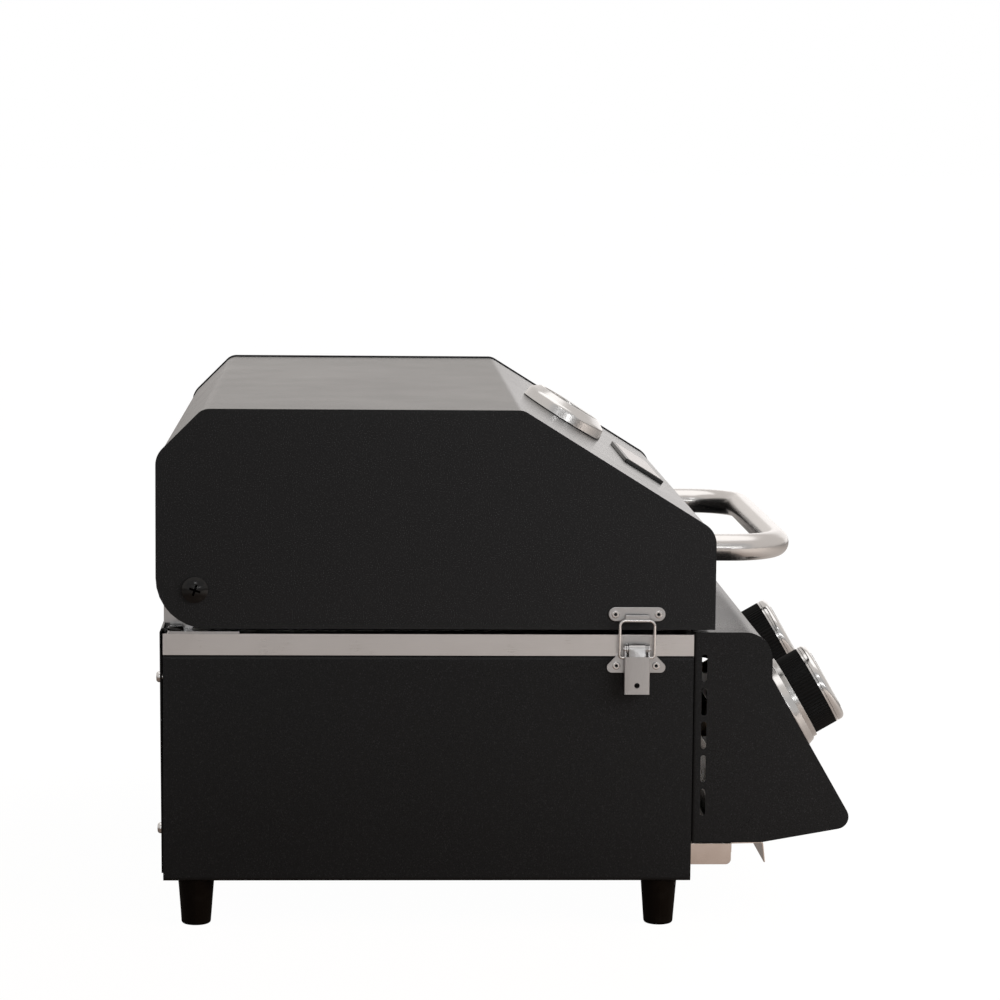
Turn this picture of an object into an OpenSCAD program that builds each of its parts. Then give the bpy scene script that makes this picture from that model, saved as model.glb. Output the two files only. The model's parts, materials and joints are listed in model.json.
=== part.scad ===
// Portable tabletop gas grill with a hinged hood, draw latches, two push-and-turn
// burner knobs and a pull-out drip tray. Millimetres, +Z up, front towards -Y,
// origin at the middle of the footprint on the table.

/* [Base] */
// Width over the base side panels
base_w = 566; // [500:1:640]
// Depth of the base from its front panel to its rear edge
base_d = 387; // [360:1:430]
// Height of the base from its underside to the rim
base_h = 183.2; // [170:0.1:200]
// Thickness of the painted sheet panels
sheet_t = 1.2; // [1:0.1:1.5]
// Outside bend radius of the painted panels
panel_bend = 3; // [2.5:0.5:4]
// Width of the inward flanges on the side panels
panel_flange = 30; // [28:1:36]
// Height of the bright rim band
band_h = 15.7; // [13:0.1:18]

/* [Firebox] */
// Thickness of the firebox sheet
liner_t = 1; // [0.8:0.1:1.2]
// Width of the flat rim round the firebox mouth
rim_w = 20; // [18:1:24]
// Clear height between the drip tray and the firebox floor
floor_rise = 28; // [24:1:32]
// Width of the floor ledge round the grease opening
drain_ledge = 70; // [50:1:90]
// Width of the ledges that carry the grates and the heat tents
ledge_w = 10; // [8:1:12]

/* [Grates] */
// Drop from the rim to the top of the grates
grate_drop = 8; // [6:1:12]
// Height of a grate
grate_h = 12; // [10:1:14]
// Width of a grate bar
bar_w = 6; // [5:0.5:8]
// Number of bars on each grate
bar_count = 15; // [12:1:17]
// Play round each loose grate
grate_play = 1; // [0.5:0.1:2]

/* [Hood] */
// Height of the hood sides
hood_h = 160; // [150:1:175]
// Gap between the rim and the hood
hood_gap = 4; // [3:0.5:6]
// Distance that the hood sides stand outside the base sides
hood_proud = 2; // [1.9:0.1:3]
// Overhang of the hood behind the base
hood_back = 5; // [4:0.5:8]
// Overhang of the hood in front of the base
hood_front = 15.2; // [13:0.1:18]
// Thickness of the hood side plates
hood_side_t = 1.5; // [1.2:0.1:1.8]
// Thickness of the bent hood sheet
wrap_t = 1; // [0.8:0.1:1.2]
// Inset of the bent sheet from the edge of the side plates
wrap_inset = 1.2; // [1:0.1:2]
// Height of the hood's upright front wall
front_wall_h = 72.3; // [66:0.1:80]
// Slope of the hood's front face in degrees
front_slope = 31.8; // [29:0.1:34]
// Size of the chamfer along the hood's upper rear edge
rear_chamfer = 34; // [28:1:40]
// Corner radius of the hood's top corners
top_r = 12; // [8:1:16]
// Corner radius of the hood's front and rear corners
side_r = 17; // [14:1:20]
// Corner radius of the hood sides round the hinge
hinge_corner_r = 37; // [30:1:40]
// Width of the flange along the hood's lower front edge
lip_w = 26; // [24:1:30]

/* [Hinge] */
// Distance of the hinge axis from the hood's rear and lower edges
hinge_in = 28.5; // [27:0.5:30]
// Radius of the hinge screw shank
hinge_r = 4; // [3.5:0.1:4.5]
// Diameter of the hinge screw head
hinge_head_d = 19; // [17:0.5:21]
// Height of the hinge screw head
hinge_head_h = 4; // [3:0.5:5]
// Thickness of the hinge brackets
bracket_t = 1.6; // [1.4:0.1:2]
// Radius of the rounded bracket top round the hinge screw
bracket_r = 14; // [12:1:16]
// Width of the bracket foot on the rim
bracket_foot_w = 16; // [15.5:0.1:17]

/* [Handle] */
// Diameter of the handle tube
handle_d = 20.5; // [18:0.5:22]
// Spacing of the handle legs
handle_pitch = 322; // [280:1:360]
// Distance from the hood front to the handle axis
handle_reach = 63.5; // [56:0.5:66]
// Height of the handle axis above the hood's lower edge
handle_up = 45.2; // [42:0.1:50]
// Bend radius of the handle tube at its axis
handle_bend = 40; // [34:1:42]

/* [Gauge and plate] */
// Diameter of the temperature gauge
gauge_d = 71.5; // [66:0.5:76]
// Height of the gauge above the hood's front slope
gauge_h = 13.5; // [12.5:0.5:15]
// Distance of the gauge centre down the slope from the hood's top
gauge_along = 53.5; // [50:0.5:57]
// Length of the gauge probe inside the hood
probe_l = 60; // [50:1:65]
// Width of the plain plate on the slope
plate_w = 148; // [120:1:170]
// Height of the plain plate along the slope
plate_h = 35; // [28:1:38]
// Thickness of the plain plate
plate_t = 3; // [2:0.5:4]
// Distance of the plate centre down the slope from the hood's top
plate_along = 125; // [120:0.5:130]

/* [Control box] */
// Depth of the control box top in front of the base
ctrl_top_d = 58; // [54:1:66]
// Rise of the control box top above the rim
ctrl_rise = 1.9; // [0:0.1:2.2]
// Radius of the control box upper front corner
ctrl_r = 20; // [16:1:24]
// Drop from the control box top to the bend of the sloping panel
ctrl_upright = 33.9; // [30:0.1:36]
// Tilt of the sloping panel from the horizontal in degrees
panel_tilt = 60; // [56:0.5:64]
// Rise of the nose above the control box underside
nose_rise = 12.3; // [10:0.1:14]
// Radius of the nose
nose_r = 9; // [8:1:12]
// Depth of the level part of the control box underside
under_d = 52; // [46:1:58]
// Inset of the control panel from the edge of the cheeks
panel_inset = 0.8; // [0.5:0.1:1.2]
// Number of vent slots in each cheek
slot_count = 5; // [3:1:5]
// Length of a vent slot
slot_l = 20.3; // [18:0.1:22]
// Width of a vent slot
slot_w = 3.9; // [3:0.1:5]
// Spacing of the vent slots
slot_pitch = 24.9; // [24:0.1:26]
// Drop from the control box top to the first slot's centre
slot_drop = 26.5; // [24:0.1:29]
// Distance of the slots in front of the base
slot_out = 8.1; // [7:0.1:10]

/* [Knobs] */
// Spacing of the two knobs
knob_pitch = 253; // [220:1:280]
// Distance of the knob axis down the sloping panel
knob_along = 54; // [50:1:60]
// Diameter of the ribbed knob ring
knob_d = 64.4; // [58:0.1:68]
// Thickness of the ribbed knob ring
knob_h = 17.7; // [15:0.1:19]
// Number of ribs round the knob
knob_ribs = 72; // [48:4:84]
// Depth of the ribs
rib_depth = 0.8; // [0.5:0.1:1]
// Height of the bright knob cap
cap_h = 8; // [7:0.5:9]
// Rounding of the cap's rim
cap_r = 4; // [3:0.5:5]
// How far the bright bezel stands out round its knob
bezel_out = 5.3; // [4.5:0.1:6]
// Height of the bezel's lip above the panel
bezel_h = 13; // [12:0.5:14]
// Gap between the bezel's lip and the knob at rest
knob_gap = 0.5; // [0.4:0.1:1.5]

/* [Gas train] */
// Radius of a valve body
valve_r = 11; // [10:0.5:13]
// Length of a valve body behind the panel
valve_l = 34; // [32:1:38]
// Distance of the valve outlet behind the panel
valve_depth = 22; // [20:1:24]
// Radius of a valve plug
plug_r = 6; // [5.5:0.1:6.5]
// Radius of a valve stem
stem_r = 3; // [2.8:0.1:3.4]
// Travel of a knob when it is pushed in
push_travel = 3; // [2:0.1:3]
// Radius of the outlet nozzle
nozzle_r = 4; // [3.5:0.1:4.5]
// Radius of the manifold tube
manifold_r = 8; // [7:0.5:9]
// Wall of the manifold tube
manifold_t = 2; // [1.5:0.1:2.5]
// Drop from the valve outlet to the manifold axis
manifold_drop = 32; // [30:1:34]
// Radius of the valve inlet leg
leg_r = 5; // [4.5:0.1:5.5]
// Outside radius of the gas inlet thread
inlet_r = 7.94; // [7.5:0.01:8.5]
// Distance that the gas inlet stands outside the cheek
inlet_out = 10; // [8:0.1:10]
// Radius of the access hole round the gas inlet
inlet_hole_r = 15; // [14:0.5:18]
// Radius of a burner tube
burner_r = 14; // [12:0.5:15]
// Wall of a burner tube
burner_t = 1; // [0.8:0.1:1.5]
// Spacing of the burner ports
port_pitch = 18; // [14:1:24]
// Radius of a burner port
port_r = 1.5; // [1:0.1:2]
// Width of a heat tent
tent_w = 110; // [90:1:130]
// Height of a heat tent
tent_h = 30; // [26:1:34]
// Rise from the burner axis to the heat tent ledges
tent_up = 26; // [24:1:28]

/* [Latches] */
// Distance of the latches behind the base front
latch_back = 42.3; // [38:0.1:60]
// Thickness of the latch sheet
latch_t = 1.2; // [1:0.1:1.4]
// Width of the lever
lever_w = 18.5; // [17.5:0.1:20]
// Length of the lever below its pivot
lever_l = 32.8; // [32:0.1:40]
// Drop from the rim to the lever pivot
pivot_drop = 9.7; // [9:0.1:11]
// Distance of the lever pivot outside the base side
pivot_out = 5.5; // [5.3:0.1:6]
// Radius of the lever pivot pin
pivot_r = 1.5; // [1.3:0.1:1.7]
// Distance from the lever pivot to the bail pivot
bail_arm = 6.3; // [6:0.1:6.6]
// Radius of the bail wire
wire_r = 1; // [0.8:0.1:1.1]
// Width over the bail
bail_w = 27.4; // [26:0.1:30]
// Width of the keeper plate
keeper_w = 41.5; // [38:0.5:46]
// Height of the keeper plate
keeper_h = 10.3; // [9:0.1:12]
// Height of the keeper above the hood's lower edge
keeper_up = 7.4; // [6.5:0.1:8]
// Width of the keeper hook
hook_w = 17.6; // [16:0.1:19]
// Spacing of the keeper rivets
keeper_rivets_w = 31.5; // [30:0.1:33]
// Width of the latch base plate
plate_foot_w = 42.7; // [41:0.1:46]
// Radius of a rivet shank
rivet_r = 1.6; // [1.4:0.1:1.8]

/* [Drip tray] */
// Height of the tray underside above the base underside
tray_lift = 10; // [10:0.5:12]
// Height of the tray
tray_h = 15.8; // [14:0.1:18]
// Gap between the tray sides and the base side panels
tray_side_gap = 9.8; // [9:0.1:14]
// Distance that the tray stands in front of the base
tray_out = 31; // [28:1:36]
// Clear distance behind the tray
tray_rear_gap = 22; // [18:1:30]
// Thickness of the tray sheet
tray_t = 1; // [0.8:0.1:1.2]
// Radius along the tray's lower edges
tray_r = 4; // [3:0.5:6]
// Depth of the tray pull
pull_d = 24.5; // [21:0.5:26]
// Gap between the tray and the control box
ctrl_gap = 3.2; // [3:0.1:6]

/* [Feet] */
// Height of the feet
foot_h = 34.2; // [26:0.1:40]
// Diameter of a foot at its top
foot_top_d = 26.7; // [22:0.1:28]
// Diameter of a foot on the table
foot_low_d = 21.4; // [18:0.1:22]
// Distance of the front feet from the front of the base
foot_in = 22.2; // [20:0.1:40]
// Distance of the rear feet from the rear of the base
foot_back_in = 23.4; // [20:0.1:40]
// Distance of the feet from the sides of the base
foot_side = 15; // [14:0.5:16]
// Radius of the foot screws
screw_r = 2.5; // [2:0.1:3]

/* [Clearances] */
// Radial clearance of a part that turns or slides on a pin
run_gap = 0.05; // [0.03:0.01:0.08]
// Clearance between bodies that pass each other
free_gap = 0.4; // [0.3:0.05:0.5]

/* [Hidden] */
$fn = 64;

// Colours as the photograph shows them
satin_black = [0.13, 0.13, 0.13];
rubber_black = [0.05, 0.04, 0.04];
stainless = [0.63, 0.60, 0.58];
polished = [0.80, 0.79, 0.78];
brass = [0.72, 0.55, 0.25];
iron = [0.10, 0.10, 0.11];

// Steps in each rounded corner of a bent sheet
corner_steps = 8;
// Small overlap that lets a cut run past a face
cut_past = 1;
// Half length of a cut that runs through a sheet
cut_reach = 5;

// Levels
rim_z = foot_h + base_h;
band_z = rim_z - band_h;
tray_z = foot_h + tray_lift;
tray_top = tray_z + tray_h;
floor_z = tray_top + floor_rise;
grate_top = rim_z - grate_drop;
ledge_z = grate_top - grate_h;
hood_z = rim_z + hood_gap;
hood_top = hood_z + hood_h;
ctrl_z = tray_top + ctrl_gap;
ctrl_top = rim_z + ctrl_rise;
bend_z = ctrl_top - ctrl_upright;
nose_z = ctrl_z + nose_rise;

// Control box reach in front of the base, and the knob axis on the panel
nose_out = ctrl_top_d + (bend_z - nose_z) / tan(panel_tilt);
knob_out = ctrl_top_d + knob_along * cos(panel_tilt);
knob_z = bend_z - knob_along * sin(panel_tilt);
knob_back = bezel_h + knob_gap;
cap_front = knob_back + knob_h + cap_h;
tip_out = knob_out + sin(panel_tilt) * (cap_front - cap_r)
    + cos(panel_tilt) * (knob_d / 2 - cap_r) + cap_r;

// Front and rear planes, with the whole depth centred on the origin
front_y = (tip_out - base_d - hood_back) / 2;
back_y = front_y + base_d;
hood_front_y = front_y - hood_front;
hood_back_y = back_y + hood_back;
side_x = base_w / 2;
hood_x = side_x + hood_proud;
hood_in_x = hood_x - hood_side_t;
mouth_x = side_x - rim_w;
mouth_front = front_y + rim_w;
mouth_back = back_y - rim_w;

// Hinge, valve, burner and latch places
hinge_y = hood_back_y - hinge_in;
hinge_z = hood_z + hinge_in;
valve_y = front_y - knob_out + valve_depth * sin(panel_tilt);
burner_z = knob_z - valve_depth * cos(panel_tilt);
manifold_z = burner_z - manifold_drop;
tent_z = burner_z + tent_up;
burner_reach = 30;
burner_front = front_y - burner_reach;
burner_short = 12;
burner_back = mouth_back - burner_short;
latch_y = front_y + latch_back;
pivot_z = rim_z - pivot_drop;
bail_pivot_z = pivot_z - bail_arm;
bail_step = 1;
bail_pivot_out = pivot_out + bail_step;
hook_z = hood_z + keeper_up;
hook_gap = 3.8;
hook_out = hood_proud + latch_t + hook_gap;
bail_bar_out = hook_out + free_gap + wire_r;
bail_lean = atan((bail_bar_out - bail_pivot_out) / (hook_z - bail_pivot_z));
bail_l = norm([bail_bar_out - bail_pivot_out, hook_z - bail_pivot_z]);
ear_out_y = lever_w / 2 - latch_t - free_gap;
plate_rivet_in = 6.75;
plate_rivet_y = plate_foot_w / 2 - plate_rivet_in;
plate_rivet_drop = 22.6;
foot_x = side_x - foot_side;
tray_x = side_x - sheet_t - tray_side_gap;
tray_front = front_y - tray_out;
tray_back = back_y - tray_rear_gap;
slope_top_y = hood_front_y + (hood_h - front_wall_h) / tan(front_slope);
probe_r = 3;
probe_gap = 1;
probe_nut_r = 8;
probe_nut_h = 5;
pin_r = 0.75;
dial_z = 3;
dial_t = 0.8;
pin_top = 6;
needle_z = 4.4;
needle_t = 0.6;
needle_hub_r = 3;
needle_hub_h = 1;
needle_tail = 6;
needle_short = 4;
needle_w = 1.2;
needle_start = 225;
badge_r = 1.5;
glass_drop = 4;
glass_t = 2;
gauge_rim = 10.5;
gauge_wall = 8.6;
gauge_lean = 1.3;
gauge_crown = 8.5;
gauge_radii = [0, 0.8, 4, 1.5, 0.8, 0, 0];

// Flanges, folds and hems of the sheet panels
edge_flange = 8.6;
rear_flange = 15;
band_lip = 8;
rear_low = 6;
rear_bow = 1.2;
hem_start = 1.2;
hem_rise = 5.2;
hem_lean = 2.6;
hem_bend = 3;
hem_slack = 0.2;
front_low = 3;
rail_wall = 12;
rail_shelf = 10;
rail_bend = 2;
cheek_flange = 14;
cheek_bend = 2.5;
upright_bend = 1.5;
lip_bend = 2;

// Screws: shank radius, head radius and height, length, and where they sit
wall_screw_r = 2;
wall_head_r = 4;
wall_head_h = 3;
wall_screw_l = 10;
wall_screw_in = 9;
rear_screw_low = 38;
rear_screw_high = 150;
bracket_screw_r = 2;
bracket_head_r = 6;
bracket_head_h = 3.2;
bracket_screw_l = 4;
bracket_screw_x = side_x - 7.2;
bracket_screw_y = back_y - 9;
handle_screw_r = 3;
handle_head_r = 5.5;
handle_head_h = 3.5;
handle_screw_l = 14;
washer_r = 8;
washer_t = 1.2;
foot_head_r = 4.5;
foot_head_h = 2.6;
foot_bore_r = 5;
foot_bore_up = 10;
rivet_head_r = 2.9;
rivet_head_h = 1.2;
rivet_l = 3;
rivet_dimple_r = 1.2;
rivet_dimple = 3;
recess_w = 1.6;
bumper_r = 4.5;
bumper_x = 10;
bumper_y = 7;
foot_edge_r = 2;

// Hinge bracket and hinge screw
bracket_in = 0.4;
bracket_toe = 18;
bracket_neck = 6;
bracket_stem = 19.5;
bracket_fillet = 3;
hem_in = 4.6;
hem_clear = 0.6;
bracket_x = side_x - bracket_in;
bracket_in_x = bracket_x - bracket_foot_w;
spacer_r = 6.5;
nut_r = 7.5;
nut_h = 5;
hinge_notch_up = 28;
hinge_brim = 1;
notch_gap = 1;
hinge_recess_r = 4.2;
hinge_turn = 20;

// Gas train
plug_front = 10 - valve_depth;
plug_l = 16.5;
stem_in = 11;
plug_room = 0.5;
stem_grip = 4;
stem_hole_r = 9;
nozzle_in = 6;
leg_in = 1;
union_z = manifold_z + manifold_r + 3;
union_h = 6;
union_r = leg_r + 2.5;
manifold_over = 25;
manifold_cap = 3;
manifold_end = side_x - 28;
inlet_hex_r = 11;
inlet_hex_l = 12;
inlet_bore_r = 3;
port_margin = 30;
port_up = 5;
peg_r = 5;
window_l = 14;
window_back = 8;
window_h = 10;
electrode_x = 24;
electrode_up = 6;
electrode_r = 3;
electrode_back = 14;
electrode_in = 30;
spark_r = 1;
spark_l = 12;
tent_play = 1;
tent_t = 1.2;
tent_bend = 4;
tent_slots = 3;
tent_slot_pitch = 40;
tent_slot_w = 5;
ridge_h = 2;
cross_drop = 3;

// Bezel, knob and cap
bezel_bore = 13;
bezel_mouth_gap = 0.8;
bezel_lip = 1;
bezel_shoulder = 1.9;
bezel_drop = 2;
bezel_groove = 1.2;
bezel_foot = 4;
bezel_floor = 4;
bezel_radii = [0, 0, 3, 0.4, 0, 0, 0.3, 0.3, 1, 0];
knob_wall = 6;
knob_hollow = 10;
cap_rim = 7;
cap_foot = 1.3;
cap_groove_w = 0.7;
cap_groove_d = 0.8;
dish_d = 4;
dish_fall = 2;
dish_bend = 2;
grip_w = 13;
grip_in = 8;
grip_up = 1;

// Tray pull
pull_dip = 0.5;
pull_lean = 1.7;
pull_low = 0.3;
pull_in = 6;
pull_root_bend = 1.5;
pull_bend = 2;

// Latch
ear_r = 3.4;
lever_edge = 3.5;
lever_foot = 2.6;
lever_top = 5.2;
lever_waist = 12;
lever_tip = 1.6;
lever_hole_r = 2;
lever_hole_up = 6.5;
pin_over = 0.8;
lever_brow = 3;
bail_foot_gap = 0.1;
bail_low_bend = 2;
bail_bend = 4;
foot_low = 27.8;
foot_drop = 0.8;
neck_over = 2.4;
neck_r = 1;
wing_low = 5.4;
wing_high = 17.2;
wing_r = 2.5;
plate_corner_r = 3.6;
curl_r = 3.9;
hook_rise = 5;
hook_bend = 2;
hook_under = 1;

// Outline helpers: rounded corners and sheets bent along a path
function unit(v) = v / norm(v);
function left_of(v) = [-v.y, v.x];
function spin(v, a) = [v.x * cos(a) - v.y * sin(a), v.x * sin(a) + v.y * cos(a)];
function corner_trim(a, b, c, r) = r / tan(acos(unit(a - b) * unit(c - b)) / 2);
function corner_mid(a, b, c, r) =
    b + unit(unit(a - b) + unit(c - b)) * r / sin(acos(unit(a - b) * unit(c - b)) / 2);
function corner_arc(a, b, c, r) = r <= 0 ? [b] :
    let (mid = corner_mid(a, b, c, r),
         trim = corner_trim(a, b, c, r),
         from = b + unit(a - b) * trim - mid,
         to = b + unit(c - b) * trim - mid,
         turn = atan2(cross(from, to), from * to))
    [for (i = [0:corner_steps]) mid + spin(from, turn * i / corner_steps)];
function rounded(p, r) = let (n = len(p))
    [for (i = [0:n - 1]) each corner_arc(p[(i + n - 1) % n], p[i], p[(i + 1) % n], r[i])];
function rounded_path(p, r) = let (n = len(p))
    [p[0], for (i = [1:n - 2]) each corner_arc(p[i - 1], p[i], p[i + 1], r[i]), p[n - 1]];
function side_step(p, i) = let (n = len(p),
    before = left_of(unit(p[max(i, 1)] - p[max(i, 1) - 1])),
    after = left_of(unit(p[min(i, n - 2) + 1] - p[min(i, n - 2)])))
    (before + after) / (1 + before * after);
function beside(p, t) = [for (i = [0:len(p) - 1]) p[i] + t * side_step(p, i)];
function turn_sign(p, i) = (i == 0 || i == len(p) - 1) ? 0 :
    sign(cross(p[i] - p[i - 1], p[i + 1] - p[i]));
function backwards(p) = [for (i = [len(p) - 1:-1:0]) p[i]];
function sheet(p, r, t) = concat(rounded_path(p, r), backwards(rounded_path(beside(p, t),
    [for (i = [0:len(p) - 1]) r[i] - t * turn_sign(p, i)])));

// Placing helpers
module along_x(x0, x1) {
    translate([x0, 0, 0]) rotate([90, 0, 90]) linear_extrude(x1 - x0) children();
}
module along_y(y0, y1) {
    translate([0, y1, 0]) rotate([90, 0, 0]) linear_extrude(y1 - y0) children();
}
module block(low, high) {
    translate(low) cube(high - low);
}
module rod_x(x0, x1, y, z, r) {
    translate([x0, y, z]) rotate([0, 90, 0]) cylinder(h = x1 - x0, r = r);
}
module rod_y(y0, y1, x, z, r) {
    translate([x, y0, z]) rotate([-90, 0, 0]) cylinder(h = y1 - y0, r = r);
}
module rod_z(z0, z1, x, y, r) {
    translate([x, y, z0]) cylinder(h = z1 - z0, r = r);
}
module sided(side) {
    mirror([side < 0 ? 1 : 0, 0, 0]) children();
}
module on_panel(x) {
    translate([x, front_y - knob_out, knob_z]) rotate([panel_tilt, 0, 0]) children();
}
module on_slope(along) {
    translate([0, slope_top_y - along * cos(front_slope), hood_top - along * sin(front_slope)])
        rotate([front_slope, 0, 0])
            translate([0, 0, -wrap_inset]) children();
}
module slot_shape(l, w) {
    square([w, l - w], center = true);
    for (end = [-1, 1])
        translate([0, end * (l - w) / 2]) circle(d = w);
}
module tube_path(p, bends, r) {
    last = len(p) - 1;
    trim = [for (i = [0:last]) (i == 0 || i == last) ? 0
        : corner_trim(p[i - 1], p[i], p[i + 1], bends[i])];
    for (i = [0:last - 1]) {
        run = unit(p[i + 1] - p[i]);
        translate(p[i] + run * trim[i])
            rotate([0, 90, atan2(run.y, run.x)])
                cylinder(h = norm(p[i + 1] - p[i]) - trim[i] - trim[i + 1], r = r);
    }
    for (i = [1:last - 1]) {
        mid = corner_mid(p[i - 1], p[i], p[i + 1], bends[i]);
        from = p[i] + unit(p[i - 1] - p[i]) * trim[i] - mid;
        to = p[i] + unit(p[i + 1] - p[i]) * trim[i] - mid;
        turn = atan2(cross(from, to), from * to);
        first = turn > 0 ? from : to;
        translate(mid)
            rotate([0, 0, atan2(first.y, first.x)])
                rotate_extrude(angle = abs(turn)) translate([bends[i], 0]) circle(r = r);
    }
}
module pan_head(r, h) {
    rotate_extrude()
        polygon(concat([[0, 0]], rounded_path([[r, 0], [r, h], [0, h]], [0, h * 0.7, 0])));
}
module truss_head(r, h, brim) {
    crown = h - brim;
    ball = (r * r + crown * crown) / (2 * crown);
    reach = asin(r / ball);
    rotate_extrude()
        polygon(concat([[0, 0], [r, 0]], [for (i = [0:corner_steps])
            [0, h - ball] + ball * spin([0, 1], -reach * (1 - i / corner_steps))]));
}
module cross_recess(r, depth, turn) {
    for (quarter = [0, 90])
        rotate(turn + quarter) cube([2 * r, recess_w, 2 * depth], center = true);
}

// Outlines of the hood side, the hood sheet and the control box cheek
hood_outline = [
    [hood_back_y, hood_z], [hood_back_y, hood_top - rear_chamfer],
    [hood_back_y - rear_chamfer, hood_top], [slope_top_y, hood_top],
    [hood_front_y, hood_z + front_wall_h], [hood_front_y, hood_z]
];
hood_radii = [hinge_corner_r, side_r, top_r, top_r, side_r, 0];
wrap_path = beside(backwards(hood_outline), -wrap_inset);
wrap_low_z = hood_z + wrap_t;
wrap_bends = [for (i = [0:5]) hood_radii[5 - i] - wrap_inset];
ctrl_outline = [
    [front_y, ctrl_z], [front_y, ctrl_top], [front_y - ctrl_top_d, ctrl_top],
    [front_y - ctrl_top_d, bend_z], [front_y - nose_out, nose_z], [front_y - under_d, ctrl_z]
];
ctrl_radii = [0, 0, ctrl_r, 0, nose_r, 0];

// Firebox with its rim, bright band, ledges and grease opening
module firebox() {
    skin = liner_t;
    color(stainless) difference() {
        union() {
            difference() {
                block([-mouth_x - skin, mouth_front - skin, floor_z],
                    [mouth_x + skin, mouth_back + skin, rim_z]);
                block([-mouth_x, mouth_front, floor_z + skin],
                    [mouth_x, mouth_back, rim_z + cut_past]);
                block([-mouth_x + drain_ledge, mouth_front + drain_ledge, floor_z - cut_past],
                    [mouth_x - drain_ledge, mouth_back - drain_ledge, floor_z + skin + cut_past]);
            }
            difference() {
                block([-side_x, front_y, band_z], [side_x, back_y, rim_z]);
                block([-side_x + skin, front_y + skin, band_z + skin],
                    [side_x - skin, back_y - skin, rim_z - skin]);
                block([-mouth_x, mouth_front, band_z - cut_past],
                    [mouth_x, mouth_back, rim_z + cut_past]);
                block([-side_x + band_lip, front_y + band_lip, band_z - cut_past],
                    [side_x - band_lip, back_y - band_lip, rim_z - skin]);
            }
            for (level = [ledge_z, tent_z]) {
                block([-mouth_x, mouth_front, level - skin], [mouth_x, mouth_front + ledge_w, level]);
                block([-mouth_x, mouth_back - ledge_w, level - skin], [mouth_x, mouth_back, level]);
            }
        }
        for (side = [-1, 1]) {
            x = side * knob_pitch / 2;
            rod_y(mouth_front - cut_reach, mouth_front + cut_reach, x, burner_z, burner_r);
            rod_y(mouth_back - cut_reach, mouth_back + cut_reach, x, burner_z, peg_r);
            rod_y(mouth_front - cut_reach, mouth_front + cut_reach, x + electrode_x,
                burner_z + electrode_up, electrode_r);
            bracket_screw_at(side) rod_z(-cut_reach, cut_reach, 0, 0, bracket_screw_r);
        }
    }
}

// Folded side panel with its top, bottom, front and rear flanges
module side_panel(side) {
    t = sheet_t;
    profile = [
        [side_x - panel_flange / 2, band_z], [side_x, band_z],
        [side_x, foot_h], [side_x - panel_flange, foot_h]
    ];
    color(satin_black) sided(side) difference() {
        union() {
            along_y(front_y, back_y) polygon(sheet(profile, [0, panel_bend, panel_bend, 0], -t));
            block([side_x - rear_flange, back_y - t, foot_h + t], [side_x - t, back_y, band_z - t]);
            block([side_x - edge_flange, front_y, foot_h + t], [side_x - t, front_y + t, band_z - t]);
        }
        for (end = [-1, 1])
            rod_x(side_x - cut_reach, side_x + cut_reach, latch_y + end * plate_rivet_y,
                rim_z - plate_rivet_drop, rivet_r);
        for (up = [rear_screw_low, rear_screw_high])
            rod_y(back_y - cut_reach, back_y + cut_reach, side_x - wall_screw_in, foot_h + up, wall_screw_r);
        foot_places_right() rod_z(-cut_reach, cut_reach, 0, 0, screw_r);
    }
}
module foot_places_right() {
    for (y = [front_y + foot_in, back_y - foot_back_in])
        translate([foot_x, y, foot_h]) children();
}

// Rear panel with a hem folded forward over the rim
module rear_panel() {
    t = sheet_t;
    top_y = back_y + t + rear_bow;
    profile = [
        [back_y + t, foot_h + rear_low], [top_y, rim_z + hem_start],
        [top_y - hem_lean, rim_z + hem_rise], [top_y - 2 * hem_lean, rim_z + 0.6 * t]
    ];
    color(satin_black) difference() {
        along_x(-side_x + t, side_x - t) polygon(sheet(profile, [0, hem_bend, t + hem_slack, 0], t));
        for (side = [-1, 1], up = [rear_screw_low, rear_screw_high])
            rod_y(back_y - cut_reach, back_y + cut_reach, side * (side_x - wall_screw_in),
                foot_h + up, wall_screw_r);
    }
}
module rear_panel_screws() {
    x = side_x - wall_screw_in;
    color(polished)
        for (side = [-1, 1], up = [rear_screw_low, rear_screw_high])
            translate([side * x, back_y + sheet_t + rear_bow * up / base_h, foot_h + up])
                rotate([-90, 0, 0]) {
                    difference() {
                        pan_head(wall_head_r, wall_head_h);
                        translate([0, 0, wall_head_h]) cross_recess(wall_head_r * 0.6, wall_head_h / 2, up);
                    }
                    rod_z(-wall_screw_l, 0, 0, 0, wall_screw_r);
                }
}

// Floor panel resting on the lower flanges of the side panels
module floor_panel() {
    color(satin_black) difference() {
        block([-side_x + panel_bend, front_y + sheet_t, foot_h + sheet_t],
            [side_x - panel_bend, back_y - sheet_t, foot_h + 2 * sheet_t]);
        for (side = [-1, 1])
            sided(side) foot_places_right() rod_z(-cut_reach, cut_reach, 0, 0, screw_r);
    }
}

// Front panel above the tray opening, with the burner holes
module front_panel() {
    reach = side_x - edge_flange;
    color(satin_black) difference() {
        block([-reach, front_y, tray_top + front_low], [reach, front_y + sheet_t, band_z - sheet_t]);
        for (side = [-1, 1])
            rod_y(front_y - cut_reach, front_y + cut_reach, side * knob_pitch / 2, burner_z, burner_r);
    }
}

// Angle rails that carry the drip tray
module tray_rails() {
    t = sheet_t;
    wall_x = side_x - t;
    low_z = tray_z - free_gap - t;
    profile = [[wall_x, tray_z + rail_wall], [wall_x, low_z], [tray_x - rail_shelf, low_z]];
    color(stainless)
        for (side = [-1, 1])
            sided(side) along_y(front_y + sheet_t, back_y - sheet_t)
                polygon(sheet(profile, [0, rail_bend, 0], -t));
}

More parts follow.
